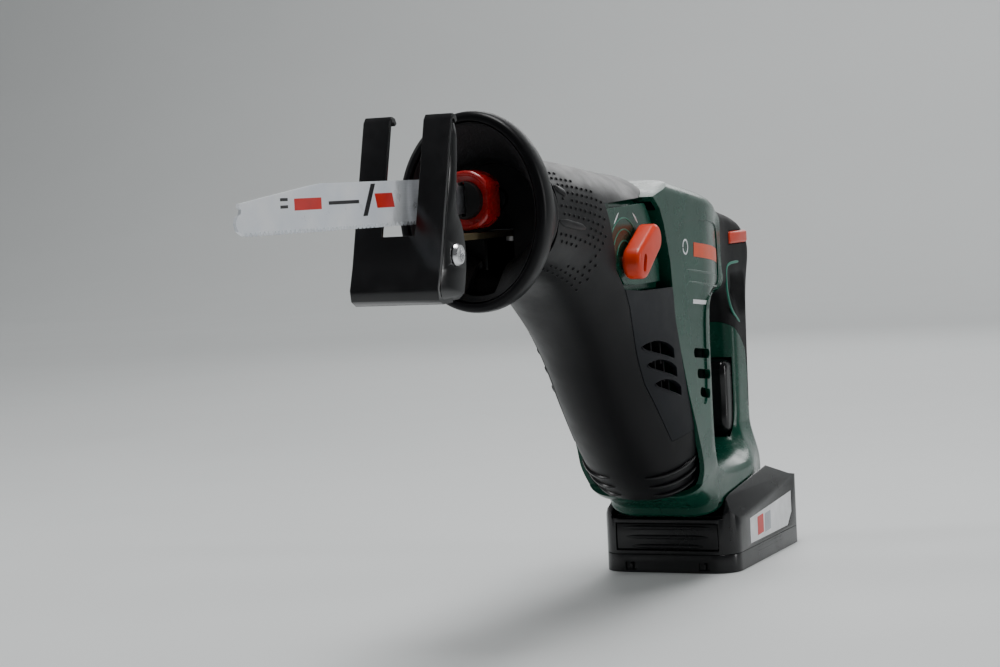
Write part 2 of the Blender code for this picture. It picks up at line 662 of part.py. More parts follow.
def build_gearbox():
    """The cast case round the gears with its nose tube, side cover, bushes and seal."""
    cx, cz = CRANK_CENTRE
    case = join(bar((cx, -17, cz), (cx, 15, cz), 25.5, 40),
                bar((155.6, 0, PLUNGER_HEIGHT), (256, 0, PLUNGER_HEIGHT), 10.5, 28),
                box((157, -16.6, 188), (201, 14.6, 204)),
                box((234, -8.5, 192.6), (255.5, 8.5, 200)))
    nozzle = bar(on_motor(CAN_END + 0.4), on_motor(MESH_DISTANCE - 2), 15.0, 28)
    case = join(case, nozzle)
    case = cut(case,
               bar((cx, -14.2, cz), (cx, 20, cz), 22.7, 40),
               bar((cx, -20, cz), (cx, -10, cz), 3.3, 16),
               plate([[(140, 211.8), (160, 214.0), (192, 217.6), (200, 225), (140, 225)]], -20, 20),
               bar((157.4, 0, PLUNGER_HEIGHT), (260, 0, PLUNGER_HEIGHT), 8.5, 28),
               box((158.6, -1, 186), (199.4, 12.6, 207.4)),
               bar(on_motor(CAN_END - 3), on_motor(CAN_END + 4), 12.8, 24),
               bar(on_motor(CAN_END), on_motor(MESH_DISTANCE), 7.8, 20))
    finish(case, "gearbox_case", "aluminium")
    cover = bar((cx, 12.9, cz), (cx, 15, cz), 22.4, 40)
    cover = cut(cover, box((140, 10, 185.7), (220, 20, 230)))
    finish(cover, "gearbox_cover", "aluminium")
    along = (1, 0, 0)
    finish(ring((203, 0, PLUNGER_HEIGHT), along, PLUNGER_RADIUS + 0.3, 8.2, 14), "plunger_bush_rear", "brass")
    finish(ring((234, 0, PLUNGER_HEIGHT), along, PLUNGER_RADIUS + 0.3, 8.2, 16), "plunger_bush_front", "brass")
    finish(ring((250.6, 0, PLUNGER_HEIGHT), along, PLUNGER_RADIUS + 0.3, 8.2, 5), "plunger_seal", "black_rubber")


def build_plunger():
    """Plunger rod with its slotted yoke, the blade clamp and the blade."""
    cx, cz = CRANK_CENTRE
    middle = cx - STROKE / 2
    rod = bar((158, 0, PLUNGER_HEIGHT), (269.6, 0, PLUNGER_HEIGHT), PLUNGER_RADIUS, 24)
    finish(rod, "plunger_rod", "bright_steel")
    yoke = plate([stadium((middle, 169.5), (middle, 195), 8.5, 8.5)], 7.4, 11.4)
    yoke = join(yoke, bar((middle - 8.4, 0, PLUNGER_HEIGHT), (middle + 8.4, 0, PLUNGER_HEIGHT), 7.2, 24),
                box((middle - 8.3, 2, 199), (middle + 8.3, 11.3, 206.8)))
    yoke = cut(yoke, plate([stadium((middle, 167.5), (middle, 187), 4, 4)], 5, 14),
               bar((middle - 12, 0, PLUNGER_HEIGHT), (middle + 12, 0, PLUNGER_HEIGHT), PLUNGER_RADIUS + GAP, 24))
    finish(yoke, "scotch_yoke", "steel")
    clamp = turned((270, 0, PLUNGER_HEIGHT), (1, 0, 0), [
        (0, 0), (7, 0), (7, 4), (9.2, 5), (9.2, 22), (8.2, 27), (0, 27)][::-1], 24)
    clamp = cut(clamp, box((BLADE_ROOT - GAP, -0.95, 199.9), (300, 0.95, 215.0)))
    finish(clamp, "blade_clamp", "black_steel")
    sleeve = turned((281, 0, PLUNGER_HEIGHT), (1, 0, 0), [
        (9.6, 0), (9.6, 13.6), (11.4, 14.6), (12.6, 14.4), (13.4, 13.2), (13.4, 1.2), (12.4, 0)], 32)
    for i in range(8):
        angle = 2 * math.pi * i / 8
        flute = bar((284, 14.6 * math.cos(angle), PLUNGER_HEIGHT + 14.6 * math.sin(angle)),
                    (292, 14.6 * math.cos(angle), PLUNGER_HEIGHT + 14.6 * math.sin(angle)), 2.0, 10)
        sleeve = cut(sleeve, flute)
    for side in (1, -1):
        low, high = sorted((side * SLEEVE_FLAT, side * 20))
        sleeve = cut(sleeve, box((270, low, 180), (300, high, 230)))
    finish(sleeve, "clamp_sleeve", "red_plastic")
    finish(blade_solid(), "saw_blade", "blade_paint")


def blade_solid():
    """The blade: a straight toothed edge below, a nose that drops to a rounded, hooked tip."""
    back = PLUNGER_HEIGHT + 0.5 + BLADE_HEIGHT / 2
    edge = back - BLADE_HEIGHT
    root = PLUNGER_HEIGHT + 0.5
    outline = [(BLADE_ROOT, root + 6.2), (BLADE_ROOT, root - 6.2), (298, root - 6.2), (303, edge + 3.0),
               (308, edge + 1.5)]
    x = 309.0
    step = 0
    while x < BLADE_TIP - 8:
        pitch = 2.6 + 0.9 * ((step // 5) % 2)
        outline += [(x, edge), (x + pitch * 0.35, edge + 1.6)]
        x += pitch
        step += 1
    outline += [(BLADE_TIP - 5.5, edge + 0.4), (BLADE_TIP - 1.5, edge + 2.2), (BLADE_TIP, edge + 5.2),
                (BLADE_TIP - 1.4, edge + 7.6), (BLADE_TIP - 4.0, edge + 8.6), (BLADE_TIP - 4.6, edge + 10.2),
                (BLADE_TIP - 2.8, edge + 11.4), (BLADE_TIP - 3.4, edge + 12.4)]
    outline += [(440, back - 1.0), (428, back), (306, back), (302, root + 6.2)]
    return plate([outline], -BLADE_THICKNESS / 2, BLADE_THICKNESS / 2)


# ---------------------------------------------------------------- foot

def build_foot():
    """The stamped foot, the bracket it swings on and its two pivot screws."""
    px, pz = FOOT_PIVOT
    front = [(343.0, 241.2), (344.4, 243.6), (347.4, 244.2), (349.6, 242.0), (366.8, 181), (370.2, 171.5),
             (369.4, 166.8), (365.4, 164.6), (356, 164.9)]
    back = [(356, 164.9 + SHEET), (364.6, 164.6 + SHEET), (367.4, 168.0), (368.2, 171.4), (364.8, 180.6),
            (347.8, 241.4), (347.0, 242.2), (345.6, 241.8), (344.6, 240.2)]
    foot = plate([front + back], -FOOT_HALF_WIDTH, FOOT_HALF_WIDTH)
    foot = cut(foot, box((330, -8, 193.5), (375, 8, 260)))
    flange = [(345.6, 240), (343.6, 232), (348.6, 204), (342.5, 196), (340.4, 186), (341.5, 176), (345, 166),
              (366, 165.6), (367.6, 171.4), (364.2, 181), (350, 231), (348, 240)]
    for side in (1, -1):
        low, high = sorted((side * FOOT_HALF_WIDTH, side * (FOOT_HALF_WIDTH - SHEET)))
        foot = join(foot, plate([flange], low, high))
    foot = cut(foot, bar((px, -30, pz), (px, 30, pz), 2.8, 16))
    finish(foot, "foot_plate", "black_steel")
    bracket = box((238, -7, 189.6), (346, 7, 192.4))
    bracket = join(bracket, box((338, -18.2, 189.7), (345.8, 18.2, 192.3)))
    for side in (1, -1):
        low, high = sorted((side * 15.9, side * 18.1))
        ear = plate([stadium((px, pz), (342.2, 188.6), 6.2, 3.7)], low, high)
        ear = cut(ear, bar((px, -30, pz), (px, 30, pz), 2.45, 16))
        bracket = join(bracket, ear)
    bracket = cut(bracket, bar((BRACKET_SCREW, 0, 180), (BRACKET_SCREW, 0, 196), 1.9, 12))
    finish(bracket, "foot_bracket", "olive_steel")
    for side, name in ((1, "left"), (-1, "right")):
        screw = join(bar((px, side * 14.0, pz), (px, side * 21.0, pz), 2.15, 16),
                     bar((px, side * 20.8, pz), (px, side * 22.6, pz), 5.0, 20, 4.2))
        finish(screw, "foot_pivot_screw_" + name, "bright_steel")
    screw = join(bar((BRACKET_SCREW, 0, 187.2), (BRACKET_SCREW, 0, 189.3), 3.2, 12),
                 bar((BRACKET_SCREW, 0, 189), (BRACKET_SCREW, 0, 192.3), 1.6, 10))
    finish(screw, "bracket_screw", "steel")


# ---------------------------------------------------------------- controls

def build_controls():
    """Blade-release lever, trigger with its switch and spring, and the lock-off button."""
    lever = plate([stadium(LEVER_PIVOT, LEVER_TIP, 8.2, 7.2)], LEVER_IN, LEVER_OUT, 1.6, 1)
    lever = join(lever, bar((LEVER_PIVOT[0], DIAL_FACE - 5, LEVER_PIVOT[1]),
                            (LEVER_PIVOT[0], LEVER_IN + 2, LEVER_PIVOT[1]), 3.0, 16))
    pocket = [(x + LEVER_PIVOT[0] + 0.5, z + LEVER_PIVOT[1]) for x, z in stadium((0.6, -2.2), (-0.6, 2.2), 1.9, 1.9)]
    lever = cut(lever, plate([pocket], LEVER_OUT - 4, LEVER_OUT + 2))
    finish(lever, "blade_release_lever", "orange_plastic")
    paddle = smooth_outline([(TRIGGER_REAR, 66.5), (-15, 66.5), (-9.5, 72), (-10.8, 88), (-9.2, 104),
                             (-13, 109.5), (TRIGGER_REAR, 109.5)])
    trigger = plate([paddle], -TRIGGER_HALF, TRIGGER_HALF, 3.0, 1)
    trigger = cut(trigger, bar((TRIGGER_REAR - 5, 0, 88), (TRIGGER_REAR + 3, 0, 88), 3.4, 12))
    finish(trigger, "trigger", "black_plastic")
    finish(box((SWITCH_FRONT - 8.5, -9.4, 68), (SWITCH_FRONT, 9.4, 114)), "switch_body", "black_plastic")
    build_trigger_spring()
    button = box((-50, -17.6, 174.4), (-19.6, 17.6, 181.4))
    finish(button, "lock_off_button", "orange_plastic")


def build_trigger_spring():
    """A short coil spring between the switch and the trigger."""
    curve = bpy.data.curves.new("coil", "CURVE")
    curve.dimensions = "3D"
    spline = curve.splines.new("POLY")
    turns, per_turn = 4, 10
    count = turns * per_turn
    spline.points.add(count)
    for i, point in enumerate(spline.points):
        angle = 2 * math.pi * i / per_turn
        x = SWITCH_FRONT + 0.8 + COIL_LENGTH * i / count
        point.co = (x * MM, 2.4 * math.cos(angle) * MM, (88 + 2.4 * math.sin(angle)) * MM, 1)
    curve.bevel_depth = 0.45 * MM
    curve.bevel_resolution = 1
    curve.use_fill_caps = True
    obj = bpy.data.objects.new("coil", curve)
    CUTTERS.objects.link(obj)
    finish(baked(obj), "trigger_spring", "steel")


# ---------------------------------------------------------------- battery

def battery_block(low, high):
    """An upright block with the battery's rounded corners."""
    length, width = BATTERY_LENGTH / 2, BATTERY_WIDTH / 2
    outline = []
    for cx, cy, first in ((1, 1, 0), (-1, 1, 90), (-1, -1, 180), (1, -1, 270)):
        corner = FRONT_CORNER if cx > 0 else REAR_CORNER
        outline += arc((cx * (length - corner), cy * (width - corner)), corner, first, first + 90, 5)
    solid = plate([outline], -high, -low)
    solid.data.transform(Matrix.Rotation(math.radians(-90), 4, "X"))
    return solid


def build_battery():
    """Upper case with raised sides, tray, five cells, contacts, labels and the release panel."""
    length, width = BATTERY_LENGTH / 2, BATTERY_WIDTH / 2
    inner = width - EAR_WIDTH
    upper = battery_block(TRAY_TOP + GAP, 52)
    upper = cut(upper,
                box((-70, -inner, DECK_TOP), (length - 8.5, inner, 60)),
                box((0, -inner, PANEL_TOP), (70, inner, 60)),
                plate([[(70, PANEL_TOP), (length - 2, 31), (length - 8, 40), (4, 49.5), (-18, 49.5), (-46, 41),
                        (-70, 37), (-70, 70), (70, 70)]], -60, 60))
    for side in (1, -1):
        chamfer = box((-80, min(0, 20 * side), 0), (80, max(0, 20 * side), 40))
        place = Matrix.Translation((0, side * width * MM, SHOULDER_EDGE * MM))
        slope = Matrix.Rotation(SHOULDER_SLOPE, 4, "Y")
        chamfer.data.transform(place @ slope @ Matrix.Rotation(SHOULDER_CHAMFER * side, 4, "X"))
        upper = cut(upper, chamfer)
    upper = cut(upper, box((-length + 1.8, -width + 2, 0), (length - 9.5, width - 2, DECK_TOP - 2)))
    rails = [box((-length + 8, side * (inner - 1.2) - 1.6, 25.2), (length - 9, side * (inner - 1.2) + 1.6, 27.6))
             for side in (1, -1)]
    upper = join(upper, *rails)
    recess_low, recess_high = 12.0, 30.0
    label = [(30, recess_low), (-38, recess_low), (-46, 19), (-46, recess_high + 1), (30, 26)]
    for side, name in ((1, "left"), (-1, "right")):
        low, high = sorted((side * (width - 0.7), side * (width + 2)))
        upper = cut(upper, plate([label], low, high))
        low, high = sorted((side * (width - 0.45), side * width))
        finish(plate([shrunk(label, 0.3)], low, high), "battery_label_" + name, "white_label")
    mouth = RELEASE_HALF + 0.4
    upper = cut(upper, box((length - 6.2, -mouth, 12.0), (length + 3, mouth, 27)))
    finish(upper, "battery_upper_case", "black_plastic")
    panel = box((length - 2.9, -RELEASE_HALF, 12.4), (length - 0.9, RELEASE_HALF, 26.6))
    for index, reach in enumerate(RELEASE_BARS):
        z = RELEASE_BAR_TOP - RELEASE_BAR_PITCH * index
        panel = join(panel, box((length - 1.2, -reach, z - 1.1), (length, reach, z + 1.1)))
    finish(panel, "battery_release_panel", "black_plastic")
    tray = battery_block(0, TRAY_TOP)
    tray = cut(tray, box((-length + 3.2, -width + 3.2, 1.8), (length - 9.5, width - 3.2, 40)))
    finish(tray, "battery_tray", "black_plastic")
    for i in range(CELL_COUNT):
        x = (i - (CELL_COUNT - 1) / 2) * CELL_PITCH - 2
        cell = bar((x, -CELL_LENGTH / 2, 2.1 + CELL_RADIUS), (x, CELL_LENGTH / 2, 2.1 + CELL_RADIUS),
                   CELL_RADIUS - 0.1, 18)
        finish(cell, "battery_cell_%d" % (i + 1), "cell_wrap")
    contacts = box((-36, -16, DECK_TOP + GAP), (-14, 16, 28.4))
    for y in (-9, 0, 9):
        contacts = cut(contacts, box((-40, y - 0.9, 24.4), (-18, y + 0.9, 30)))
    finish(contacts, "battery_contact_block", "black_plastic")


def build_battery_shoe():
    """The block under the base that the battery slides onto, and the saw's contact blades."""
    inner = BATTERY_WIDTH / 2 - EAR_WIDTH
    shoe = box((-54, -inner + 0.5, DECK_TOP + 0.4), (BATTERY_LENGTH / 2 - 9, inner - 0.5, HOUSING_FLOOR - GAP))
    shoe = cut(shoe, box((-44, -17, 20), (60, 17, 29.0)))
    for side in (1, -1):
        shoe = cut(shoe, box((-60, side * inner - 3.4, 24.8), (60, side * inner + 3.4, 28.0)))
    finish(shoe, "battery_shoe", "black_plastic")
    block = box((-43.6, -14, 24.2), (-38, 14, 28.7))
    for y in (-9, 0, 9):
        block = join(block, box((-39, y - 0.5, 25.0), (-20, y + 0.5, 28.0)))
    finish(block, "terminal_block", "brass")


build_housings()
build_front_cover()
build_guard()
build_motor()
build_crank()
build_gearbox()
build_plunger()
build_foot()
build_controls()
build_battery()
build_battery_shoe()
for leftover in list(CUTTERS.objects):
    bpy.data.objects.remove(leftover, do_unlink=True)
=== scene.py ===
import json
import math
import bmesh
import bpy
from mathutils import Matrix, Vector


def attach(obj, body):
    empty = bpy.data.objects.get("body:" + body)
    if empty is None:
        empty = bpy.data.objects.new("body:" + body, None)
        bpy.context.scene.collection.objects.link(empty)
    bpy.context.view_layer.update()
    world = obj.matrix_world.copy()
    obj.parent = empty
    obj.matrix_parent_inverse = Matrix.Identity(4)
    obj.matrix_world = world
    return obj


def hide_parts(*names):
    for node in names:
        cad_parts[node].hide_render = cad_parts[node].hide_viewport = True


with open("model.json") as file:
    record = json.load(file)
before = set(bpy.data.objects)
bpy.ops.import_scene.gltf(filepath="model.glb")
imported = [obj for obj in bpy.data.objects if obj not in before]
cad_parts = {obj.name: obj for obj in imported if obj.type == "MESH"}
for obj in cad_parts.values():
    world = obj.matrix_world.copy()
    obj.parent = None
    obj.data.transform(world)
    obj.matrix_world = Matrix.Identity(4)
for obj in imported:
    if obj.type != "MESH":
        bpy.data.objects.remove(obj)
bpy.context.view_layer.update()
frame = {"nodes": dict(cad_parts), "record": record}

MM = 0.001
GAP = 0.3
WALL = 2.6
SMOOTH_ANGLE = math.radians(32)

# Battery
BATTERY_LENGTH = 117.0
BATTERY_WIDTH = 77.0
TRAY_TOP = 9.7
DECK_TOP = 22.8
PANEL_TOP = 29.0
EAR_WIDTH = 6.6
FRONT_CORNER = 13.0
REAR_CORNER = 5.0
PANEL_HALF = 29.0
TRAY_SLOT = 21                     # how far the tray's two front slots lie from the middle
SHOULDER_HEIGHT = 34               # the case's sloping shoulders, at the middle of its length
SHOULDER_SLOPE = math.radians(6.5)
SHOULDER_LEAN = math.radians(28)
PANEL_BARS = (25.4, 23.4, 20.2)    # half lengths of the release panel's bars, from the top
BAR_TOP = 24.4
BAR_PITCH = 5.1

# Body
BODY_HALF_WIDTH = 35.0
HANDLE_HALF_WIDTH = 16.5
SLAB_HALF = 16.0
SLAB_ROUND = 8.0
HOUSING_FLOOR = 30.2
PLUNGER_HEIGHT = 207.0

# Blade, guard and foot
BLADE_TIP = 497.0
BLADE_ROOT = 281.0
BLADE_HEIGHT = 19.0
BLADE_THICKNESS = 1.25
SLEEVE_FLAT = 10.8                 # half width across the release sleeve's flat sides
FLUTE_CIRCLE = 14.8                # radius on which the sleeve's flutes are centred
BARE_END = 357.0                   # the paint starts in front of this x
FOOT_PIVOT = (350.0, 184.6)
FOOT_HALF_WIDTH = 20.5
BRACKET_HALF = 7.4                 # half the gap that the foot's bracket slides through
SHEET = 2.0

# Controls
LEVER_PIVOT = (181.0, 173.0)
LEVER_TIP = (163.2, 183.6)
DIAL_FACE = 31.0
MARK_DEPTH = -0.75                 # printed marks lie in the sides' recessed panels
MARK_HEIGHT = 0.12
RELIEF_DEPTH = 0.8
SIDE_RIBS = 16                     # fine ribs on each side and on the back of the grip
SIDE_RIB_PITCH = 1.55
BACK_RIBS = 42
BACK_RIB_PITCH = 1.8
TRIGGER_HALF = 14.0
TRIGGER_REAR = -28.0
LEVER_IN = 32.0
LEVER_OUT = 41.5

# Camera: place in metres, and the directions of its right, up and back
CAMERA_PLACE = (1.2508, 0.4440, 0.2102)
CAMERA_RIGHT = (-0.4072, 0.9120, -0.0496)
CAMERA_UP = (-0.0748, 0.0208, 0.9970)
CAMERA_BACK = (0.9103, 0.4096, 0.0598)
LENS = 85.1
SENSOR = 36.0
SWEEP_WIDTH = 30000                # floor and wall behind the saw
SWEEP_FRONT = 15000
SWEEP_BEND = -2500
SWEEP_RADIUS = 2000
SWEEP_TOP = 6000
FLOOR_DROP = 0.2                   # keeps the floor clear of the battery's underside


# ---------------------------------------------------------------- materials

def shader_links(name):
    """A new material, its node tree and its Principled shader."""
    made = bpy.data.materials.new(name)
    made.use_nodes = True
    return made, made.node_tree, made.node_tree.nodes["Principled BSDF"]


def noise(tree, scale, detail=4.0, rough=0.5, stretch=(1, 1, 1)):
    """A noise texture that is fixed to the piece, one unit to the metre."""
    place = tree.nodes.new("ShaderNodeTexCoord")
    mapping = tree.nodes.new("ShaderNodeMapping")
    mapping.inputs["Scale"].default_value = stretch
    texture = tree.nodes.new("ShaderNodeTexNoise")
    texture.inputs["Scale"].default_value = scale
    texture.inputs["Detail"].default_value = detail
    texture.inputs["Roughness"].default_value = rough
    tree.links.new(place.outputs["Object"], mapping.inputs["Vector"])
    tree.links.new(mapping.outputs["Vector"], texture.inputs["Vector"])
    return texture.outputs["Fac"]


def ramp(tree, value, low, high, start, end):
    """Maps a value from low..high onto start..end."""
    node = tree.nodes.new("ShaderNodeMapRange")
    node.inputs["From Min"].default_value = low
    node.inputs["From Max"].default_value = high
    node.inputs["To Min"].default_value = start
    node.inputs["To Max"].default_value = end
    tree.links.new(value, node.inputs["Value"])
    return node.outputs["Result"]


def mixed(tree, factor, first, second):
    """A colour between two, each a colour or another node's output."""
    node = tree.nodes.new("ShaderNodeMix")
    node.data_type = "RGBA"
    for socket, value in ((node.inputs["A"], first), (node.inputs["B"], second)):
        if isinstance(value, tuple):
            socket.default_value = (*value, 1.0)
        else:
            tree.links.new(value, socket)
    tree.links.new(factor, node.inputs["Factor"])
    return node.outputs["Result"]


def scaled(colour, amount):
    return tuple(min(1.0, part * amount) for part in colour)


def bumped(tree, shader, height, strength, distance, edge=0.0):
    """Sends a height to the shader's normal, over edges rounded by the given radius in mm."""
    bump = tree.nodes.new("ShaderNodeBump")
    bump.inputs["Strength"].default_value = strength
    bump.inputs["Distance"].default_value = distance * MM
    tree.links.new(height, bump.inputs["Height"])
    if edge:
        rounded = tree.nodes.new("ShaderNodeBevel")
        rounded.samples = 4
        rounded.inputs["Radius"].default_value = edge * MM
        tree.links.new(rounded.outputs["Normal"], bump.inputs["Normal"])
    tree.links.new(bump.outputs["Normal"], shader.inputs["Normal"])


def moulded(name, colour, rough, grain=1500.0, depth=0.03, strength=0.35, wear=0.25, edge=0.4, coat=0.0,
            shine=0.5):
    """Moulded plastic or rubber: fine grain, uneven gloss, faint mottling and paler worn edges."""
    made, tree, shader = shader_links(name)
    mottle = noise(tree, 22.0, 5.0)
    base = mixed(tree, ramp(tree, mottle, 0.3, 0.7, 0.0, 1.0), scaled(colour, 0.82), scaled(colour, 1.2))
    geometry = tree.nodes.new("ShaderNodeNewGeometry")
    edges = ramp(tree, geometry.outputs["Pointiness"], 0.53, 0.62, 0.0, wear)
    patchy = tree.nodes.new("ShaderNodeMath")
    patchy.operation = "MULTIPLY"
    tree.links.new(edges, patchy.inputs[0])
    tree.links.new(ramp(tree, noise(tree, 160.0), 0.35, 0.65, 0.2, 1.0), patchy.inputs[1])
    pale = tuple(min(1.0, part * 2.2 + 0.03) for part in colour)
    tree.links.new(mixed(tree, patchy.outputs["Value"], base, pale), shader.inputs["Base Color"])
    smudges = noise(tree, 60.0, 6.0, 0.65)
    tree.links.new(ramp(tree, smudges, 0.3, 0.7, rough - 0.06, rough + 0.08), shader.inputs["Roughness"])
    shader.inputs["Specular IOR Level"].default_value = shine
    shader.inputs["Coat Weight"].default_value = coat
    shader.inputs["Coat Roughness"].default_value = 0.2
    bumped(tree, shader, noise(tree, grain, 3.0, 0.6), strength, depth, edge)
    return made


def brushed(name, colour, rough, stretch=(40, 900, 900), wear=0.3):
    """Machined or drawn metal: fine lines along one direction, uneven gloss and brighter edges."""
    made, tree, shader = shader_links(name)
    lines = noise(tree, 1.0, 4.0, 0.6, stretch)
    geometry = tree.nodes.new("ShaderNodeNewGeometry")
    edges = ramp(tree, geometry.outputs["Pointiness"], 0.52, 0.6, 0.0, wear)
    base = mixed(tree, ramp(tree, lines, 0.3, 0.7, 0.0, 1.0), scaled(colour, 0.8), scaled(colour, 1.15))
    tree.links.new(mixed(tree, edges, base, (0.85, 0.85, 0.85)), shader.inputs["Base Color"])
    shader.inputs["Metallic"].default_value = 1.0
    tree.links.new(ramp(tree, noise(tree, 90.0, 5.0), 0.3, 0.7, rough - 0.07, rough + 0.1),
                   shader.inputs["Roughness"])
    bumped(tree, shader, lines, 0.25, 0.02, 0.25)
    return made


def blade_finish():
    """White paint with fine scratches, and bare ground steel at the clamp's end."""
    made, tree, shader = shader_links("blade_paint")
    place = tree.nodes.new("ShaderNodeTexCoord")
    split = tree.nodes.new("ShaderNodeSeparateXYZ")
    tree.links.new(place.outputs["Object"], split.inputs["Vector"])
    painted = ramp(tree, split.outputs["X"], (BARE_END - 8) * MM, (BARE_END + 8) * MM, 0.0, 1.0)
    lines = noise(tree, 1.0, 4.0, 0.6, (60, 60, 2500))
    steel = mixed(tree, lines, (0.42, 0.44, 0.48), (0.72, 0.74, 0.78))
    patches = ramp(tree, noise(tree, 45.0, 6.0), 0.35, 0.7, 0.0, 1.0)
    paint = mixed(tree, patches, (0.76, 0.80, 0.87), (0.90, 0.92, 0.95))
    tree.links.new(mixed(tree, painted, steel, paint), shader.inputs["Base Color"])
    tree.links.new(ramp(tree, painted, 0, 1, 1.0, 0.0), shader.inputs["Metallic"])
    tree.links.new(ramp(tree, noise(tree, 120.0), 0.3, 0.7, 0.26, 0.42), shader.inputs["Roughness"])
    bumped(tree, shader, lines, 0.15, 0.02, 0.15)
    return made


def printed(name, colour):
    """Ink or a foil: nearly flat, with slight unevenness and a faint orange-peel surface."""
    made, tree, shader = shader_links(name)
    tone = ramp(tree, noise(tree, 140.0, 5.0), 0.3, 0.7, 0.0, 1.0)
    base = mixed(tree, tone, scaled(colour, 0.88), scaled(colour, 1.05))
    tree.links.new(base, shader.inputs["Base Color"])
    tree.links.new(ramp(tree, noise(tree, 70.0), 0.3, 0.7, 0.3, 0.45), shader.inputs["Roughness"])
    bumped(tree, shader, noise(tree, 500.0), 0.12, 0.02)
    return made


def wound_copper():
    """Lacquered copper windings: strong fine lines round the armature."""
    made, tree, shader = shader_links("copper")
    lines = noise(tree, 1.0, 2.0, 0.5, (2600, 300, 2600))
    tree.links.new(mixed(tree, lines, (0.45, 0.14, 0.05), (0.85, 0.38, 0.2)), shader.inputs["Base Color"])
    shader.inputs["Metallic"].default_value = 1.0
    tree.links.new(ramp(tree, lines, 0.3, 0.7, 0.25, 0.45), shader.inputs["Roughness"])
    bumped(tree, shader, lines, 0.5, 0.15)
    return made


LOOKS = {
    "green_plastic": moulded("green_plastic", (0.0008, 0.050, 0.030), 0.24, wear=0.08, shine=0.32),
    "green_line": moulded("green_line", (0.010, 0.180, 0.120), 0.36, wear=0.1),
    "black_rubber": moulded("black_rubber", (0.003, 0.003, 0.004), 0.38, 1300.0, 0.05, 0.5, 0.12,
                            shine=0.18),
    "grip_rubber": moulded("grip_rubber", (0.004, 0.004, 0.005), 0.55, 1100.0, 0.05, 0.5, 0.12, shine=0.2),
    "grained_rubber": moulded("grained_rubber", (0.014, 0.015, 0.017), 0.50, 620.0, 0.3, 0.9, 0.1,
                            shine=0.5),
    "charcoal_plastic": moulded("charcoal_plastic", (0.007, 0.008, 0.011), 0.42, 1300.0, 0.04, 0.4, 0.12,
                                shine=0.16),
    "black_plastic": moulded("black_plastic", (0.004, 0.004, 0.005), 0.22, 1000.0, 0.03, 0.3, 0.12,
                            shine=0.4),
    "inner_plastic": moulded("inner_plastic", (0.006, 0.006, 0.007), 0.6, 900.0, 0.05, 0.4, 0.2, shine=0.2),
    "orange_plastic": moulded("orange_plastic", (0.70, 0.035, 0.003), 0.33, wear=0.1, edge=0.5),
    "red_plastic": moulded("red_plastic", (0.46, 0.008, 0.008), 0.24, wear=0.2, coat=0.4),
    "black_steel": moulded("black_steel", (0.003, 0.003, 0.004), 0.16, 420.0, 0.03, 0.2, 0.4, 0.35, 0.3,
                            shine=0.4),
    "steel": brushed("steel", (0.50, 0.50, 0.52), 0.32),
    "dark_steel": brushed("dark_steel", (0.10, 0.10, 0.11), 0.34, wear=0.5),
    "bright_steel": brushed("bright_steel", (0.80, 0.80, 0.82), 0.17),
    "olive_steel": brushed("olive_steel", (0.24, 0.20, 0.12), 0.36),
    "aluminium": brushed("aluminium", (0.58, 0.59, 0.60), 0.48, (300, 300, 300)),
    "brass": brushed("brass", (0.66, 0.46, 0.16), 0.33, (300, 300, 300)),
    "copper": wound_copper(),
    "cell_wrap": moulded("cell_wrap", (0.03, 0.16, 0.42), 0.35, 300.0, 0.05, 0.3),
    "white_label": printed("white_label", (0.84, 0.85, 0.87)),
    "red_ink": printed("red_ink", (0.66, 0.02, 0.015)),
    "grey_ink": printed("grey_ink", (0.42, 0.44, 0.48)),
    "black_ink": printed("black_ink", (0.015, 0.015, 0.018)),
    "orange_ink": printed("orange_ink", (0.80, 0.075, 0.01)),
    "blade_paint": blade_finish(),
}


# ---------------------------------------------------------------- shape tools

def linked(obj):
    """Put an object in the scene."""
    bpy.context.scene.collection.objects.link(obj)
    return obj


def object_of(shape, name="shape"):
    """Turn a bmesh in millimetres into an object."""
    bmesh.ops.remove_doubles(shape, verts=shape.verts, dist=0.002)
    bmesh.ops.recalc_face_normals(shape, faces=shape.faces)
    bmesh.ops.scale(shape, vec=(MM, MM, MM), verts=shape.verts)
    mesh = bpy.data.meshes.new(name)
    shape.to_mesh(mesh)
    shape.free()
    return linked(bpy.data.objects.new(name, mesh))


def baked(obj):
    """Replace an object by a plain mesh of what its modifiers and transform make."""
    graph = bpy.context.evaluated_depsgraph_get()
    graph.update()
    mesh = bpy.data.meshes.new_from_object(obj.evaluated_get(graph))
    mesh.transform(obj.matrix_world)
    shape = bmesh.new()
    shape.from_mesh(mesh)
    bmesh.ops.remove_doubles(shape, verts=shape.verts, dist=0.000005)
    shape.to_mesh(mesh)
    shape.free()
    solid = linked(bpy.data.objects.new(obj.name, mesh))
    bpy.data.objects.remove(obj, do_unlink=True)
    return solid


def combine(target, others, operation):
    for other in others:
        step = target.modifiers.new("combine", "BOOLEAN")
        step.operation = operation
        step.object = other
        step.solver = "MANIFOLD"
    solid = baked(target)
    for other in others:
        bpy.data.objects.remove(other, do_unlink=True)
    return solid


def cut(target, *others):
    return combine(target, others, "DIFFERENCE")


def join(target, *others):
    return combine(target, others, "UNION")


def keep_inside(target, *others):
    return combine(target, others, "INTERSECT")


def copy_of(obj):
    twin = linked(obj.copy())
    twin.data = obj.data.copy()
    return twin


def mirrored(obj):
    twin = copy_of(obj)
    twin.data.transform(Matrix.Diagonal((1, -1, 1, 1)))
    twin.data.flip_normals()
    return twin


def softened(obj, width, segments=2, angle=38):
    """Round an object's edges."""
    step = obj.modifiers.new("soften", "BEVEL")
    step.width = width * MM
    step.segments = segments
    step.limit_method = "ANGLE"
    step.angle_limit = math.radians(angle)
    step.use_clamp_overlap = True
    step.harden_normals = False
    return baked(obj)


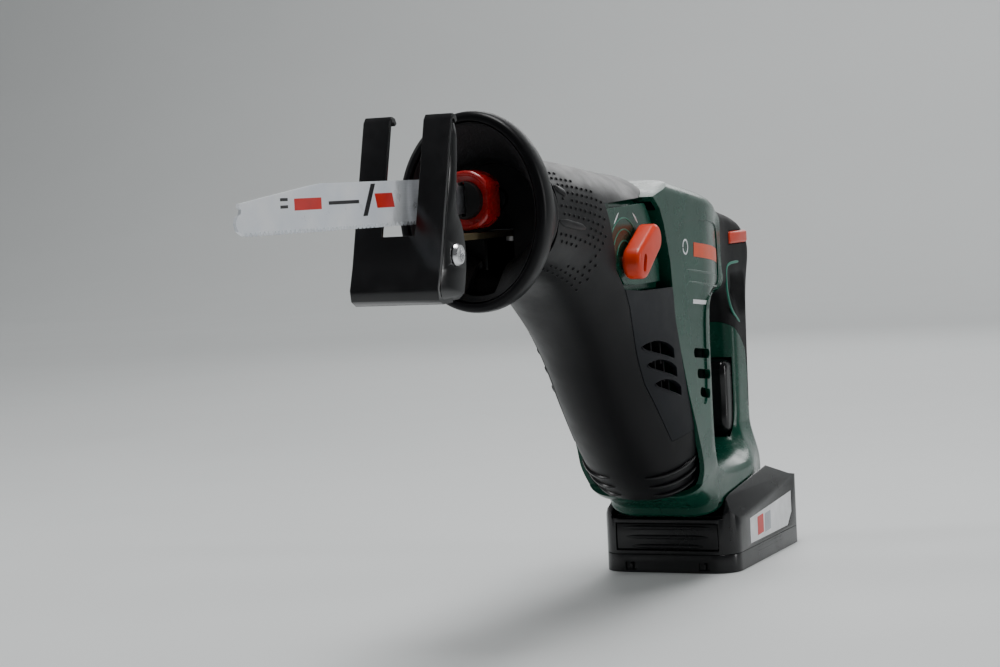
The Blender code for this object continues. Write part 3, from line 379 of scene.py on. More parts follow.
def box(low, high):
    shape = bmesh.new()
    bmesh.ops.create_cube(shape, size=1.0)
    for corner in shape.verts:
        for axis in range(3):
            corner.co[axis] = high[axis] if corner.co[axis] > 0 else low[axis]
    return object_of(shape)


def bar(start, end, radius, sides=40, end_radius=None):
    """A straight round bar or cone between two points."""
    start, end = Vector(start), Vector(end)
    along = end - start
    shape = bmesh.new()
    place = Matrix.Translation((start + end) / 2) @ along.to_track_quat("Z", "Y").to_matrix().to_4x4()
    far = radius if end_radius is None else end_radius
    bmesh.ops.create_cone(shape, cap_ends=True, segments=sides, radius1=radius, radius2=far,
                          depth=along.length, matrix=place)
    return object_of(shape)


def lofted(rings, closed_loop=False):
    """A skin over rings of points: capped at both ends, or joined from the last ring to the first."""
    shape = bmesh.new()
    rows = [[shape.verts.new(point) for point in points] for points in rings]
    following = rows[1:] + rows[:1] if closed_loop else rows[1:]
    for near, far in zip(rows, following):
        for i in range(len(near)):
            j = (i + 1) % len(near)
            shape.faces.new((near[i], near[j], far[j], far[i]))
    if not closed_loop:
        shape.faces.new(rows[0])
        shape.faces.new(rows[-1])
    return object_of(shape)


def turned(start, along, profile, sides=64):
    """A turned piece: (radius, distance) points of a closed outline, swept round an axis."""
    turn = Vector(along).to_track_quat("Z", "Y").to_matrix()
    rings = []
    for radius, distance in profile:
        ring = []
        for i in range(sides):
            angle = 2 * math.pi * i / sides
            offset = Vector((radius * math.cos(angle), radius * math.sin(angle), distance))
            ring.append(Vector(start) + turn @ offset)
        rings.append(ring)
    return lofted(rings, closed_loop=True)


def arc(centre, radius, first, last, count):
    turn = [math.radians(first + (last - first) * i / (count - 1)) for i in range(count)]
    return [(centre[0] + radius * math.cos(a), centre[1] + radius * math.sin(a)) for a in turn]


def stadium(start, end, start_radius, end_radius, count=17):
    """The outline of a bar with two round ends."""
    heading = math.degrees(math.atan2(end[1] - start[1], end[0] - start[0]))
    return (arc(end, end_radius, heading - 90, heading + 90, count)
            + arc(start, start_radius, heading + 90, heading + 270, count))


def plate(outlines, y_low, y_high, rounding=0.0, steps=4, inset=0.0):
    """Flat outlines in x and z, the later ones being holes, with a thickness along y."""
    curve = bpy.data.curves.new("outline", "CURVE")
    curve.dimensions = "2D"
    curve.fill_mode = "BOTH"
    for outline in outlines:
        spline = curve.splines.new("POLY")
        spline.points.add(len(outline) - 1)
        for point, (x, z) in zip(spline.points, outline):
            point.co = (x * MM, z * MM, 0, 1)
        spline.use_cyclic_u = True
    curve.extrude = ((y_high - y_low) / 2 - rounding) * MM
    curve.bevel_depth = rounding * MM
    curve.bevel_resolution = steps
    curve.offset = -(rounding + inset) * MM
    obj = linked(bpy.data.objects.new("plate", curve))
    obj.matrix_world = (Matrix.Translation((0, (y_high + y_low) / 2 * MM, 0))
                        @ Matrix.Rotation(math.radians(90), 4, "X"))
    solid = baked(obj)
    shape = bmesh.new()
    shape.from_mesh(solid.data)
    bmesh.ops.remove_doubles(shape, verts=shape.verts, dist=0.00002)
    bmesh.ops.recalc_face_normals(shape, faces=shape.faces)
    shape.to_mesh(solid.data)
    shape.free()
    return solid


def side_plate(outline, side, inner, outer):
    """A flat outline on one side, side being 1 or -1, between two distances from the middle."""
    return plate([outline], *sorted((side * inner, side * outer)))


def blend(value, low, high):
    """A smooth step: 0 up to low, 1 from high on."""
    t = min(1.0, max(0.0, (value - low) / (high - low)))
    return t * t * (3 - 2 * t)


def smooth_outline(points, passes=2):
    """Round a coarse outline by cutting its corners."""
    for _ in range(passes):
        rounded = []
        for here, following in zip(points, points[1:] + points[:1]):
            rounded.append((here[0] * 0.78 + following[0] * 0.22, here[1] * 0.78 + following[1] * 0.22))
            rounded.append((here[0] * 0.22 + following[0] * 0.78, here[1] * 0.22 + following[1] * 0.78))
        points = rounded
    return points


def curved(points, parts, closed=False):
    """Points along a smooth curve through the given ones, any number of coordinates each."""
    count = len(points)
    spans = count if closed else count - 1
    result = []
    for i in range(spans):
        if closed:
            a, b, c, d = (points[(i + k) % count] for k in (-1, 0, 1, 2))
        else:
            a, b, c, d = (points[min(count - 1, max(0, i + k))] for k in (-1, 0, 1, 2))
        for step in range(parts):
            t = step / parts
            result.append(tuple(
                0.5 * (2 * q + (r - p) * t + (2 * p - 5 * q + 4 * r - s) * t * t
                       + (3 * q - p - 3 * r + s) * t ** 3)
                for p, q, r, s in zip(a, b, c, d)))
    if not closed:
        result.append(tuple(points[-1]))
    return result


def strip(stops, width, height, sink=0.5, taper=True):
    """A rounded rib along a surface. Each stop is a point and the surface's normal there."""
    rings = []
    last = len(stops) - 1
    for i, (point, normal) in enumerate(stops):
        along = (stops[min(last, i + 1)][0] - stops[max(0, i - 1)][0]).normalized()
        side = along.cross(normal).normalized()
        ease = 1.0
        if taper and i in (0, last):
            ease = 0.3
        if taper and i in (1, last - 1):
            ease = 0.8
        section = [(-0.5, -sink), (-0.5, height * 0.35 * ease), (-0.36, height * 0.8 * ease),
                   (-0.14, height * ease), (0.14, height * ease), (0.36, height * 0.8 * ease),
                   (0.5, height * 0.35 * ease), (0.5, -sink)]
        rings.append([point + side * (w * width * ease) + normal * h for w, h in section])
    return lofted(rings)


def piece(obj, name, body, look, slot, *nodes):
    """Finish a shape as one of the saw's visible pieces."""
    obj.name = name
    obj.data.name = name
    obj.data.materials.clear()
    obj.data.materials.append(LOOKS[look])
    obj.data.shade_smooth()
    obj.data.set_sharp_from_angle(angle=SMOOTH_ANGLE)
    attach(obj, body)
    if nodes:
        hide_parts(*nodes)
    return obj


def both_sides(left, name, look, slot, node=None):
    """Finish a piece of the left side and its mirror image on the right."""
    for obj, side in ((mirrored(left), "_right"), (left, "_left")):
        piece(obj, name + side, "housing", look, slot, *([node + side] if node else []))


def united(objects):
    """One mesh out of several separate small shapes."""
    shape = bmesh.new()
    for obj in objects:
        shape.from_mesh(obj.data)
        bpy.data.objects.remove(obj, do_unlink=True)
    mesh = bpy.data.meshes.new("united")
    shape.to_mesh(mesh)
    shape.free()
    return linked(bpy.data.objects.new("united", mesh))


# ---------------------------------------------------------------- body surfaces

NOSE_SECTIONS = [
    ((262, 226), (262, 172), 31.0),
    ((240, 225), (243, 168), 31.5),
    ((215, 223.5), (222, 161), 32.5),
    ((190, 221), (203, 150), 33.5),
    ((160, 218), (187, 138), 34.5),
    ((128, 214.5), (171, 123), 35.0),
    ((100, 200), (158, 107), 35.0),
    ((84, 174), (141, 86), 35.0),
    ((68, 142), (120, 64), 35.0),
    ((56, 116), (105, 51), 34.0),
    ((50, 98), (93, 43.5), 31.5),
    ((45, 84), (80, 38), 28.0),
]
SECTION_POWER = 2.35               # how square the nose's sections are; 2 would be an ellipse
LAST_SECTION = len(NOSE_SECTIONS) - 1.01
REAR_OUTLINE = [
    (166, 218.6), (128, 214.5), (71, 207), (8, 197), (-30, 191), (-44, 187.5), (-54, 181.5), (-59, 173.5),
    (-58.5, 164), (-54, 153), (-51, 140), (-50, 100), (-49.5, 74), (-52, 62), (-58, 50),
    (-58, HOUSING_FLOOR), (57, HOUSING_FLOOR), (63, 31.5), (66, 37), (76, 41), (92, 44.5),
    (128, 80), (166, 140),
]
D_OPENING = [
    (66, 140), (60, 147), (20, 149.5), (-8, 149), (-17, 142), (-19, 128), (-19.5, 84), (-17, 70),
    (-8, 62), (10, 59), (40, 59), (58, 61), (66, 69),
]
SEAM = [
    (60, 221), (88, 217.5), (150, 204), (141, 198), (136, 190), (129, 171), (125, 141), (118, 122),
    (110, 103), (101, 86), (94, 71), (90, 60), (87, 52), (91, 46.5), (100, 42), (100, 30),
]
NOTCH_FRONT = [(184, 160), (196, 170), (202, 186), (206, 202)]
NOTCH_REAR = [(150, 203.7), (124, 204)]
PANEL_FRONT = [(116, 78), (131, 94), (146, 110), (157, 125), (166, 138), (175, 150)]
PANEL_REAR = [(116, 158), (113, 141), (106, 122), (98, 103), (90, 85.5)]
DIAL_OUTLINE = [(203, 199.6), (151, 201), (145, 195), (140.5, 188), (134, 170), (134, 161.5), (166, 161.2),
                (183, 162.4), (193, 171.5), (199.4, 187)]
GRIP_BOTTOM = 73
GRIP_REGION = [
    (1, 200), (3, 176), (1.5, 164), (-8, 147), (-16, 132), (-33, 121), (-42, 112), (-42, GRIP_BOTTOM),
    (-90, GRIP_BOTTOM), (-90, 200),
]
RELIEF = [
    (115.5, 189.5), (88, 191), (48, 188), (30, 183), (25, 160), (30, 153), (70, 151), (79, 143), (80, 100),
    (83, 93), (93.5, 97), (103, 135.5), (107.5, 160), (114.5, 179),
]
VENTS = [((156.6, 130), (127.5, 126.6), 7.6), ((149, 120.4), (123.4, 116.6), 7.2),
         ((140, 110), (117.4, 106.2), 6.8)]
HOUSING_SLOTS = [((86, 121), 22, 5.0, 0.1), ((84, 110), 18, 5.0, 0.12), ((83, 100), 13, 5.0, 0.2)]
HOUSING_SCREWS = [(100, 192), (20, 172), (-38, 60), (36, 46)]
WIDTH_STEP = 6
NOSE_PARTS = 5
NOSE_SIDES = 120
FINE_SECTIONS = curved([(*top, *bottom, width) for top, bottom, width in NOSE_SECTIONS], NOSE_PARTS)


def nose_point(t, angle, shrink=0.0):
    """A place on the nose's skin: t runs along the sections, the angle from the top to the left."""
    spot = max(0.0, min(len(FINE_SECTIONS) - 1.001, t * NOSE_PARTS))
    first = int(spot)
    share = spot - first
    x1, z1, x2, z2, width = (a * (1 - share) + b * share
                             for a, b in zip(FINE_SECTIONS[first], FINE_SECTIONS[first + 1]))
    length = math.dist((x1, z1), (x2, z2))
    reach = length / 2 - shrink
    high = math.copysign(abs(math.cos(angle)) ** (2 / SECTION_POWER), math.cos(angle)) * reach
    wide = math.copysign(abs(math.sin(angle)) ** (2 / SECTION_POWER), math.sin(angle)) * (width - shrink)
    forward, upward = (x1 - x2) / length, (z1 - z2) / length
    return Vector(((x1 + x2) / 2 + forward * high, wide, (z1 + z2) / 2 + upward * high))


def on_nose(t, angle):
    """A point on the nose's skin and the outward normal there."""
    step = 0.01
    along = nose_point(t + step, angle) - nose_point(max(0.0, t - step), angle)
    round_way = nose_point(t, angle + step) - nose_point(t, angle - step)
    return nose_point(t, angle), round_way.cross(along).normalized()


def last_true(low, high, test):
    """The last place between low and high at which a test that starts out true still holds."""
    for _ in range(24):
        middle = (low + high) / 2
        if test(middle):
            low = middle
        else:
            high = middle
    return low


def nose_at(x, angle):
    """The place on the nose's skin at a given x and angle."""
    return on_nose(last_true(0.0, LAST_SECTION, lambda t: nose_point(t, angle).x > x), angle)


def nose_solid(shrink=0.0):
    """The nose and barrel as one solid."""
    angles = [2 * math.pi * (k + 0.5) / NOSE_SIDES for k in range(NOSE_SIDES)]
    rings = []
    for i in range((len(NOSE_SECTIONS) - 1) * NOSE_PARTS + 1):
        rings.append([nose_point(i / NOSE_PARTS, angle, shrink) for angle in angles])
    if shrink:
        rings.insert(0, [point + Vector((16, 0, 0)) for point in rings[0]])
        rings.append([point + Vector((-12, 0, -14)) for point in rings[-1]])
    return lofted(rings)


def half_width(x, z):
    """Half the width of the rear body at a place on its side, in millimetres."""
    bridge = HANDLE_HALF_WIDTH + (BODY_HALF_WIDTH - HANDLE_HALF_WIDTH) * blend(x, -18, 74)
    base = 19 + 12 * blend(x, -56, 4)
    base += (BODY_HALF_WIDTH - 31) * blend(z, 46, 66) * blend(x, 20, 60)
    low = 1 - blend(z, 50, 74)
    return base * low + bridge * (1 - low)


def on_side(x, z, side, grow=0.0):
    """A point on the rear body's side and the outward normal there."""
    step = 1.0
    slope_x = (half_width(x + step, z) - half_width(x - step, z)) / (2 * step)
    slope_z = (half_width(x, z + step) - half_width(x, z - step)) / (2 * step)
    normal = Vector((-slope_x, side, -slope_z)).normalized()
    return Vector((x, side * (half_width(x, z) + grow), z)), normal


def widened_slab(inset):
    """The rear body: a rounded slab whose sides are moved out to the body's width."""
    solid = plate([smooth_outline(REAR_OUTLINE), smooth_outline(D_OPENING)[::-1]],
                  -SLAB_HALF, SLAB_HALF, SLAB_ROUND, 5, inset)
    shape = bmesh.new()
    shape.from_mesh(solid.data)
    lines = [((1, 0, 0), x) for x in range(-66, 162, WIDTH_STEP)]
    lines += [((0, 0, 1), z) for z in range(36, 216, WIDTH_STEP)]
    for axis, place in lines:
        everything = list(shape.verts) + list(shape.edges) + list(shape.faces)
        bmesh.ops.bisect_plane(shape, geom=everything, plane_no=axis,
                               plane_co=[(place + 0.137) * MM * a for a in axis], dist=0.000001)
    bmesh.ops.triangulate(shape, faces=shape.faces)
    for point in shape.verts:
        width = half_width(point.co.x / MM, point.co.z / MM) - inset
        point.co.y *= width / SLAB_HALF
    shape.to_mesh(solid.data)
    shape.free()
    return solid


def seam_region(gap):
    """Everything behind the line where the green rear housings meet the black front cover."""
    far_rear = [(-120, 30), (-120, 240), (60, 240)]
    return plate([far_rear[::-1] + [(x - gap, z) for x, z in SEAM][::-1]], -60, 60)


def shrunk(points, distance):
    """An outline moved a little towards its middle."""
    middle = (sum(p[0] for p in points) / len(points), sum(p[1] for p in points) / len(points))
    result = []
    for x, z in points:
        reach = math.dist((x, z), middle)
        result.append((x + (middle[0] - x) * distance / reach, z + (middle[1] - z) * distance / reach))
    return result


def slanted_slot(centre, length, height, lean, y_low, y_high):
    reach = length / 2 - height / 2
    way = (math.cos(lean) * reach, math.sin(lean) * reach)
    return plate([stadium((centre[0] - way[0], centre[1] - way[1]), (centre[0] + way[0], centre[1] + way[1]),
                          height / 2, height / 2, 9)], y_low, y_high)


# ---------------------------------------------------------------- green housings and grip

def make_housings():
    # The front edge isn't hollowed: it closes the sides behind the dial and along the top seam.
    front_line = SEAM[1:7]
    front_wall = front_line + [(x - 3.5, z - 2.5) for x, z in front_line[::-1]]
    hollow = cut(widened_slab(WALL), side_plate(front_wall, 1, 12, 60), side_plate(front_wall, -1, 12, 60))
    shell = cut(widened_slab(0.0), hollow)
    shell = keep_inside(shell, seam_region(GAP))
    shell = cut(shell, box((-70, -40, 20), (90, 40, HOUSING_FLOOR + 0.01)))
    grip = keep_inside(copy_of(shell), plate([smooth_outline(GRIP_REGION, 1)], -60, 60))
    grip_hole = [(x + GAP, z - GAP if z == GRIP_BOTTOM else z) for x, z in GRIP_REGION]
    shell = cut(shell, plate([smooth_outline(grip_hole, 1)], -61, 61))
    slot = TRIGGER_HALF + GAP
    shell = cut(shell, box((-36, -slot, 65.7), (-8, slot, 110.3)))
    grip = cut(grip, plate([[(-50.4, 174), (-19, 174), (-19, 181.8), (-50.4, 181.8)]], -60, 60))
    piece(grip, "soft_grip", "housing", "grip_rubber", "black_rubber", "handle_grip")
    # The sides' recessed panels are cut to an even depth below the curved skin.
    for side in (1, -1):
        shell = cut(shell, cut(side_plate(smooth_outline(RELIEF), side, 5, 70), widened_slab(RELIEF_DEPTH)))
    for centre, length, height, lean in HOUSING_SLOTS:
        shell = cut(shell, slanted_slot(centre, length, height, lean, -60, 60))
    left = cut(copy_of(shell), box((-200, -100, -100), (300, 0.15, 300)))
    right = cut(shell, box((-200, -0.15, -100), (300, 100, 300)))
    for x, z in HOUSING_SCREWS:
        depth = half_width(x, z)
        right = cut(right, bar((x, -depth - 6, z), (x, -depth + 6, z), 3.4, 32))
    piece(left, "green_shell_left", "housing", "green_plastic", "green_plastic", "housing_left")
    piece(right, "green_shell_right", "housing", "green_plastic", "green_plastic", "housing_right")


def side_line(points, side, grow, parts=6):
    """Stops along a smooth line drawn on one side of the rear body."""
    return [on_side(x, z, side, grow) for x, z in curved(points, parts)]


def make_side_details():
    """Inlay and ribs of the grip, contour steps and the plain marks on the green sides."""
    inlay_path = [(-35, 163.8), (-20, 163.4), (-13.2, 160.5), (-12.6, 151), (-16.5, 142), (-22.5, 135.5),
                  (-33, 129.4)]
    inlays, ribs, steps = [], [], []
    for side in (1, -1):
        inlays.append(strip(side_line(inlay_path, side, 0.0), 1.5, 0.35))
        for i in range(SIDE_RIBS):
            x = -19.5 - SIDE_RIB_PITCH * i
            top = 158.5
            low = max(133.0, 150 + (x + 16) * 1.05)
            stops = side_line([(x, top), (x, (top + low) / 2), (x, low)], side, -0.1, 2)
            ribs.append(strip(stops, 0.8, 0.45))
        for path in ([(104, 165.6), (64, 161.6), (27, 158.2)], [(101.5, 159.3), (66, 155.6), (36, 153.2)]):
            steps.append(strip(side_line(path, side, -0.8), 1.1, 0.35))
    piece(united(inlays), "grip_inlay", "housing", "green_line", "green_plastic")
    piece(united(ribs), "grip_side_ribs", "housing", "grip_rubber", "black_rubber")
    piece(united(steps), "contour_steps", "housing", "green_plastic", "green_plastic")
    back_ribs = []
    for i in range(BACK_RIBS):
        z = 78 + BACK_RIB_PITCH * i
        x = -50.1 - 0.2 * max(0.0, z - 134)
        path = [Vector((x, y, z)) for y in (-9, -4, 0, 4, 9)]
        back_ribs.append(strip([(point, Vector((-1, 0, 0))) for point in path], 0.9, 0.5))
    piece(united(back_ribs), "grip_back_ribs", "housing", "grip_rubber", "black_rubber")
    orange, white = [], []
    for side in (1, -1):
        wide = [on_side(90.5 - 3.7 * i, 175.4 - 0.36 * i, side, MARK_DEPTH) for i in range(17)]
        orange.append(strip(wide, 7.4, MARK_HEIGHT, taper=False))
        small = [on_side(95 - 3 * i, 148.6 - 0.27 * i, side, MARK_DEPTH) for i in range(9)]
        white.append(strip(small, 2.2, MARK_HEIGHT, taper=False))
        round_path = arc((103.2, 177.2), 3.6, 0, 352, 28)
        white.append(strip([on_side(x, z, side, MARK_DEPTH) for x, z in round_path], 1.0, MARK_HEIGHT,
                           taper=False))
    piece(united(orange), "orange_bars", "housing", "orange_ink", "orange_plastic")
    piece(united(white), "white_marks", "housing", "white_label", "white_label")


make_housings()
make_side_details()


# ---------------------------------------------------------------- front cover

def vent_outline(tip, rear, height):
    """A teardrop vent: a pointed front, a bowed top, a square rear end and a slanted lower edge."""
    lean = (rear[1] - tip[1]) / (rear[0] - tip[0])
    points = []
    top = [(0.0, 0.0), (0.1, 0.22), (0.3, 0.42), (0.5, 0.46), (0.75, 0.36), (0.95, 0.12), (1.0, 0.0)]
    low = [(1.04, -0.55), (1.0, -0.66), (0.7, -0.5), (0.35, -0.34), (0.1, -0.2)]
    for share, rise in curved(top, 3) + low:
        x = tip[0] + (rear[0] - tip[0]) * share
        points.append((x, tip[1] + (x - tip[0]) * lean + rise * height))
    return points


def make_front_cover():
    shell = cut(cut(nose_solid(), nose_solid(WALL)), seam_region(0.0))
    window = PANEL_FRONT + NOTCH_FRONT[:1] + [(166, 158.5)] + PANEL_REAR
    panel = keep_inside(copy_of(shell), plate([shrunk(window, GAP)], 10, 60))
    panel.data.transform(Matrix.Translation((0, 0.25 * MM, 0)))
    for tip, rear, height in VENTS:
        panel = cut(panel, plate([vent_outline(tip, rear, height)], 5, 60))
    both_sides(panel, "side_panel", "charcoal_plastic", "charcoal_plastic", "vent_panel")
    shell = cut(shell, plate([window], -70, -8))
    shell = cut(shell, plate([PANEL_FRONT + NOTCH_FRONT + NOTCH_REAR + PANEL_REAR], 8, 70))
    shell = cut(shell, box((240, -BRACKET_HALF, 150), (280, BRACKET_HALF, 183)))
    piece(shell, "nose_cover", "housing", "black_rubber", "black_rubber", "front_cover")


def side_of_nose(x, z):
    """The angle at which the nose's left skin passes through a given x and z."""
    return last_true(math.radians(5), math.radians(175), lambda angle: nose_at(x, angle)[0].z > z)


def make_vent_lips():
    """Thin raised lips on the vents' lower edges, fins inside the vents, and a dark sheet behind them that
    is painted shade inside the nose.
    """
    lips, fins_and_shade_sheet = [], []
    for tip, rear, height in VENTS:
        outline = vent_outline(tip, rear, height)
        lower = [outline[0]] + outline[:-5:-1]
        stops = []
        for x, z in curved(lower, 4):
            point, normal = nose_at(x, side_of_nose(x, z))
            stops.append((point + Vector((0, 0.25, 0)), normal))
        lips.append(strip(stops, 1.0, 0.5))
        for share in (0.45, 0.75):
            x = tip[0] + (rear[0] - tip[0]) * share
            z = tip[1] + (rear[1] - tip[1]) * share
            skin = nose_at(x, side_of_nose(x, z))[0].y
            fins_and_shade_sheet.append(box((x - 0.7, skin - 9, z - height), (x + 0.7, skin - 3.4, z + height * 0.6)))
    # A dark sheet just behind the vents: painted shade, standing for the shadow inside the nose.
    shade = plate([shrunk(PANEL_FRONT + [(160, 152), (118, 150)] + PANEL_REAR[1:], 5)], 20.5, 21.5)
    fins_and_shade_sheet.append(shade)
    lips, fins_and_shade_sheet = united(lips), united(fins_and_shade_sheet)
    both_sides(lips, "vent_lips", "charcoal_plastic", "charcoal_plastic")
    both_sides(fins_and_shade_sheet, "vent_fins_and_shade_sheet", "inner_plastic", "inner_plastic")


DOT_FRONT = 257.5
DOT_REAR = 206
DOT_PITCH = 5.3
DOT_ROW = 3.55
DOT_RADIUS = 0.85
DOT_HEIGHT = 0.6


def dome(point, normal, radius, height):
    """A small flattened dome on a surface."""
    across = normal.orthogonal().normalized()
    other = normal.cross(across)
    rings = []
    for rise, reach in ((-0.3, 1.0), (0.25, 0.95), (0.7, 0.7), (1.0, 0.25)):
        ring = []
        for i in range(10):
            angle = 2 * math.pi * i / 10
            offset = across * math.cos(angle) + other * math.sin(angle)
            ring.append(point + offset * radius * reach + normal * height * rise)
        rings.append(ring)
    return lofted(rings)


def smooth_patch(x, z):
    """Whether a place on the nose's side is in a bar or patch that has no dots."""
    if 247 < x and abs(z - (207.6 + (x - 250.5) * 0.36)) < 2.8:
        return True
    if 229 < x and abs(z - (191.2 + (x - 232) * 0.15)) < 3.0:
        return True
    return 221 < x and abs(z - (177.4 + (x - 222) * 0.08)) < 4.4


def make_nose_grip():
    """Rows of small raised dots round the nose, and the smooth raised bars between them."""
    dots = []
    row = 0
    angle = math.radians(14)
    while angle < math.radians(152):
        x = DOT_FRONT - (row % 2) * DOT_PITCH / 2
        while x > DOT_REAR:
            point, normal = nose_at(x, angle)
            rear = 208.5 + (4.5 if point.z < 180 else 0.0)
            low_edge = 156.4 + (x - 202) * 0.327
            high_edge = 208.5 + (x - 219) * 0.295
            if x > rear and low_edge < point.z < high_edge and not smooth_patch(x, point.z):
                dots.append(dome(point, normal, DOT_RADIUS, DOT_HEIGHT))
            x -= DOT_PITCH
        here = nose_at(235, angle)[0]
        angle += DOT_ROW / max(8.0, (nose_at(235, angle + 0.05)[0] - here).length / 0.05)
        row += 1
    both_sides(united(dots), "grip_dots", "black_rubber", "black_rubber")
    bars = []
    for start, end in (((261, 211.4), (249.5, 207.4)), ((261, 195.6), (232, 191.2))):
        stops = []
        for i in range(9):
            x = start[0] + (end[0] - start[0]) * i / 8
            z = start[1] + (end[1] - start[1]) * i / 8
            stops.append(nose_at(x, side_of_nose(x, z)))
        bars.append(strip(stops, 3.6, 0.8))
    both_sides(united(bars), "grip_bars", "black_rubber", "black_rubber")


def barrel_at(angle, z):
    """The place on the barrel's skin at a given angle and height."""
    return on_nose(last_true(5.0, LAST_SECTION, lambda t: nose_point(t, angle).z > z), angle)


def make_barrel_ribs():
    """Louvre ribs round both sides of the barrel's lower end, rising towards the rear."""
    ribs = []
    for low, high in ((58.6, 69.2), (53.0, 64.2), (47.9, 59.2)):
        stops = []
        for i in range(11):
            share = i / 10
            angle = math.radians(167 - 54 * share)
            stops.append(barrel_at(angle, low + (high - low) * share ** 1.8))
        ribs.append(strip(stops, 2.2, 1.5))
    both_sides(united(ribs), "barrel_ribs", "black_plastic", "black_plastic")


def make_dial():
    """The green dial plate with its rings and two white ticks."""
    px, pz = LEVER_PIVOT
    dial = plate([DIAL_OUTLINE], DIAL_FACE - 3.2, DIAL_FACE - GAP)
    dial = cut(dial, bar((px, 20, pz), (px, 40, pz), 3.3, 32))
    piece(dial, "dial_plate", "housing", "green_plastic", "green_plastic", "lever_dial_plate")
    backing = plate([[(206, 203), (152, 205), (142, 199), (131, 172), (131, 158), (185, 158.5), (197, 170)]],
                    10, DIAL_FACE - 3.4)
    backing = keep_inside(backing, nose_solid(WALL + 0.4))
    backing = cut(backing, bar((px, 5, pz), (px, 40, pz), 3.3, 32), box((150, 5, 140), (206, 17.5, 200)))
    piece(backing, "dial_backing", "housing", "green_plastic", "green_plastic")
    rings = []
    facing = Vector((0, 1, 0))
    for radius, first, last in ((10.5, 20, 165), (16.0, 30, 150), (21.5, 42, 135)):
        path = arc((px, pz), radius, first, last, 24)
        rings.append(strip([(Vector((x, DIAL_FACE - GAP, z)), facing) for x, z in path], 0.7, 0.3))
    piece(united(rings), "dial_rings", "housing", "green_line", "green_plastic")
    ticks = []
    for start, end in (((193, 192), (186.5, 197.2)), ((167.5, 196.6), (161, 191.5))):
        path = [Vector((start[0] + (end[0] - start[0]) * i / 4, DIAL_FACE - GAP,
                        start[1] + (end[1] - start[1]) * i / 4)) for i in range(5)]
        ticks.append(strip([(point, facing) for point in path], 1.1, 0.15))
    piece(united(ticks), "dial_ticks", "housing", "white_label", "white_label")


make_front_cover()
make_vent_lips()
make_nose_grip()
make_barrel_ribs()
make_dial()


# ---------------------------------------------------------------- guard

def oval_band(stations, sides=144, parts=4):
    """A band swept round the nose: stations are (x, half width, half height, centre height)."""
    angles = [2 * math.pi * i / sides for i in range(sides)]
    rings = []
    for x, wide, high, middle in curved(stations, parts, closed=True):
        rings.append([(x, wide * math.sin(angle), middle + high * math.cos(angle)) for angle in angles])
    return lofted(rings, closed_loop=True)


def make_guard():
    collar = oval_band([
        (262.8, 31.4, 27.8, 199.2), (266, 31.4, 28.2, 199.3), (270, 32.2, 31.5, 199.9),
        (274, 34.0, 38.6, 200.8), (277.5, 35.7, 44.0, 201.4), (281, 36.4, 45.3, 201.5),
        (285, 36.5, 45.4, 201.5), (288.4, 35.9, 44.9, 201.5), (289.8, 34.4, 43.4, 201.5),
        (289.8, 32.6, 41.6, 201.5), (289.2, 31.9, 40.9, 201.5), (286, 31.5, 40.5, 201.5),
        (276, 30.2, 37.2, 201.2), (270, 28.9, 27.7, 199.8), (262.8, 28.8, 25.1, 199.2),
    ])
    piece(collar, "guard_ring", "housing", "black_rubber", "black_rubber", "guard_collar")
    funnel = oval_band([
        (288.4, 31.1, 40.1, 201.5), (286.6, 30.9, 39.9, 201.5), (276.4, 29.6, 36.4, 201.2),
        (270.6, 28.2, 27.2, 199.8), (264, 28.2, 24.4, 199.2), (264, 22.5, 23.0, 200.5),
        (268, 23.4, 24.4, 200.5), (272, 24.6, 26.4, 200.6), (280, 27.2, 34.2, 201.2),
        (286.2, 30.2, 39.2, 201.5),
    ])
    funnel = cut(funnel, box((255, -BRACKET_HALF, 150), (284, BRACKET_HALF, 184)))
    piece(funnel, "guard_inside", "housing", "grained_rubber", "black_rubber", "guard_funnel")
    wall = keep_inside(nose_solid(WALL + 0.3), box((257, -40, 150), (260, 40, 240)))
    wall = cut(wall, bar((250, 0, PLUNGER_HEIGHT), (270, 0, PLUNGER_HEIGHT), 5.6),
               box((250, -BRACKET_HALF, 160), (270, BRACKET_HALF, 193)))
    piece(wall, "throat_wall", "housing", "inner_plastic", "black_rubber")


make_guard()


# ---------------------------------------------------------------- lever, trigger and button

def make_controls():
    px, pz = LEVER_PIVOT
    lever = plate([stadium(LEVER_PIVOT, LEVER_TIP, 8.2, 7.2, 21)], LEVER_IN, LEVER_OUT, 2.2, 5)
    lever = join(lever, bar((px, DIAL_FACE - 5, pz), (px, LEVER_IN + 3, pz), 3.0, 32))
    pocket = [(x + px + 0.5, z + pz - 0.5) for x, z in stadium((0.9, -2.6), (-0.9, 2.6), 1.9, 1.9, 11)]
    lever = cut(lever, plate([pocket], LEVER_OUT - 4, LEVER_OUT + 2))
    piece(lever, "release_lever", "release_lever", "orange_plastic", "orange_plastic", "blade_release_lever")
    paddle = smooth_outline([(TRIGGER_REAR, 66.5), (-15, 66.5), (-9.5, 72), (-10.8, 88), (-9.2, 104),
                             (-13, 109.5), (TRIGGER_REAR, 109.5)], 3)
    trigger = plate([paddle], -TRIGGER_HALF, TRIGGER_HALF, 4.2, 6)
    trigger = cut(trigger, bar((TRIGGER_REAR - 5, 0, 88), (TRIGGER_REAR + 3, 0, 88), 3.4, 24))
    piece(trigger, "trigger_paddle", "trigger", "black_plastic", "black_plastic", "trigger")
    button = softened(box((-50, -17.6, 174.4), (-19.6, 17.6, 181.4)), 1.5, 4)
    piece(button, "lock_button_bar", "lock_button", "orange_plastic", "orange_plastic", "lock_off_button")
    grooves = []
    for side in (1, -1):
        for i in range(6):
            x = -46 + 4.4 * i
            path = [Vector((x, side * 17.4, z)) for z in (175.8, 177, 178.5, 180)]
            grooves.append(strip([(point, Vector((0, side, 0))) for point in path], 1.1, 0.18))
    piece(united(grooves), "lock_button_ribs", "lock_button", "orange_plastic", "orange_plastic")


make_controls()


# ---------------------------------------------------------------- battery

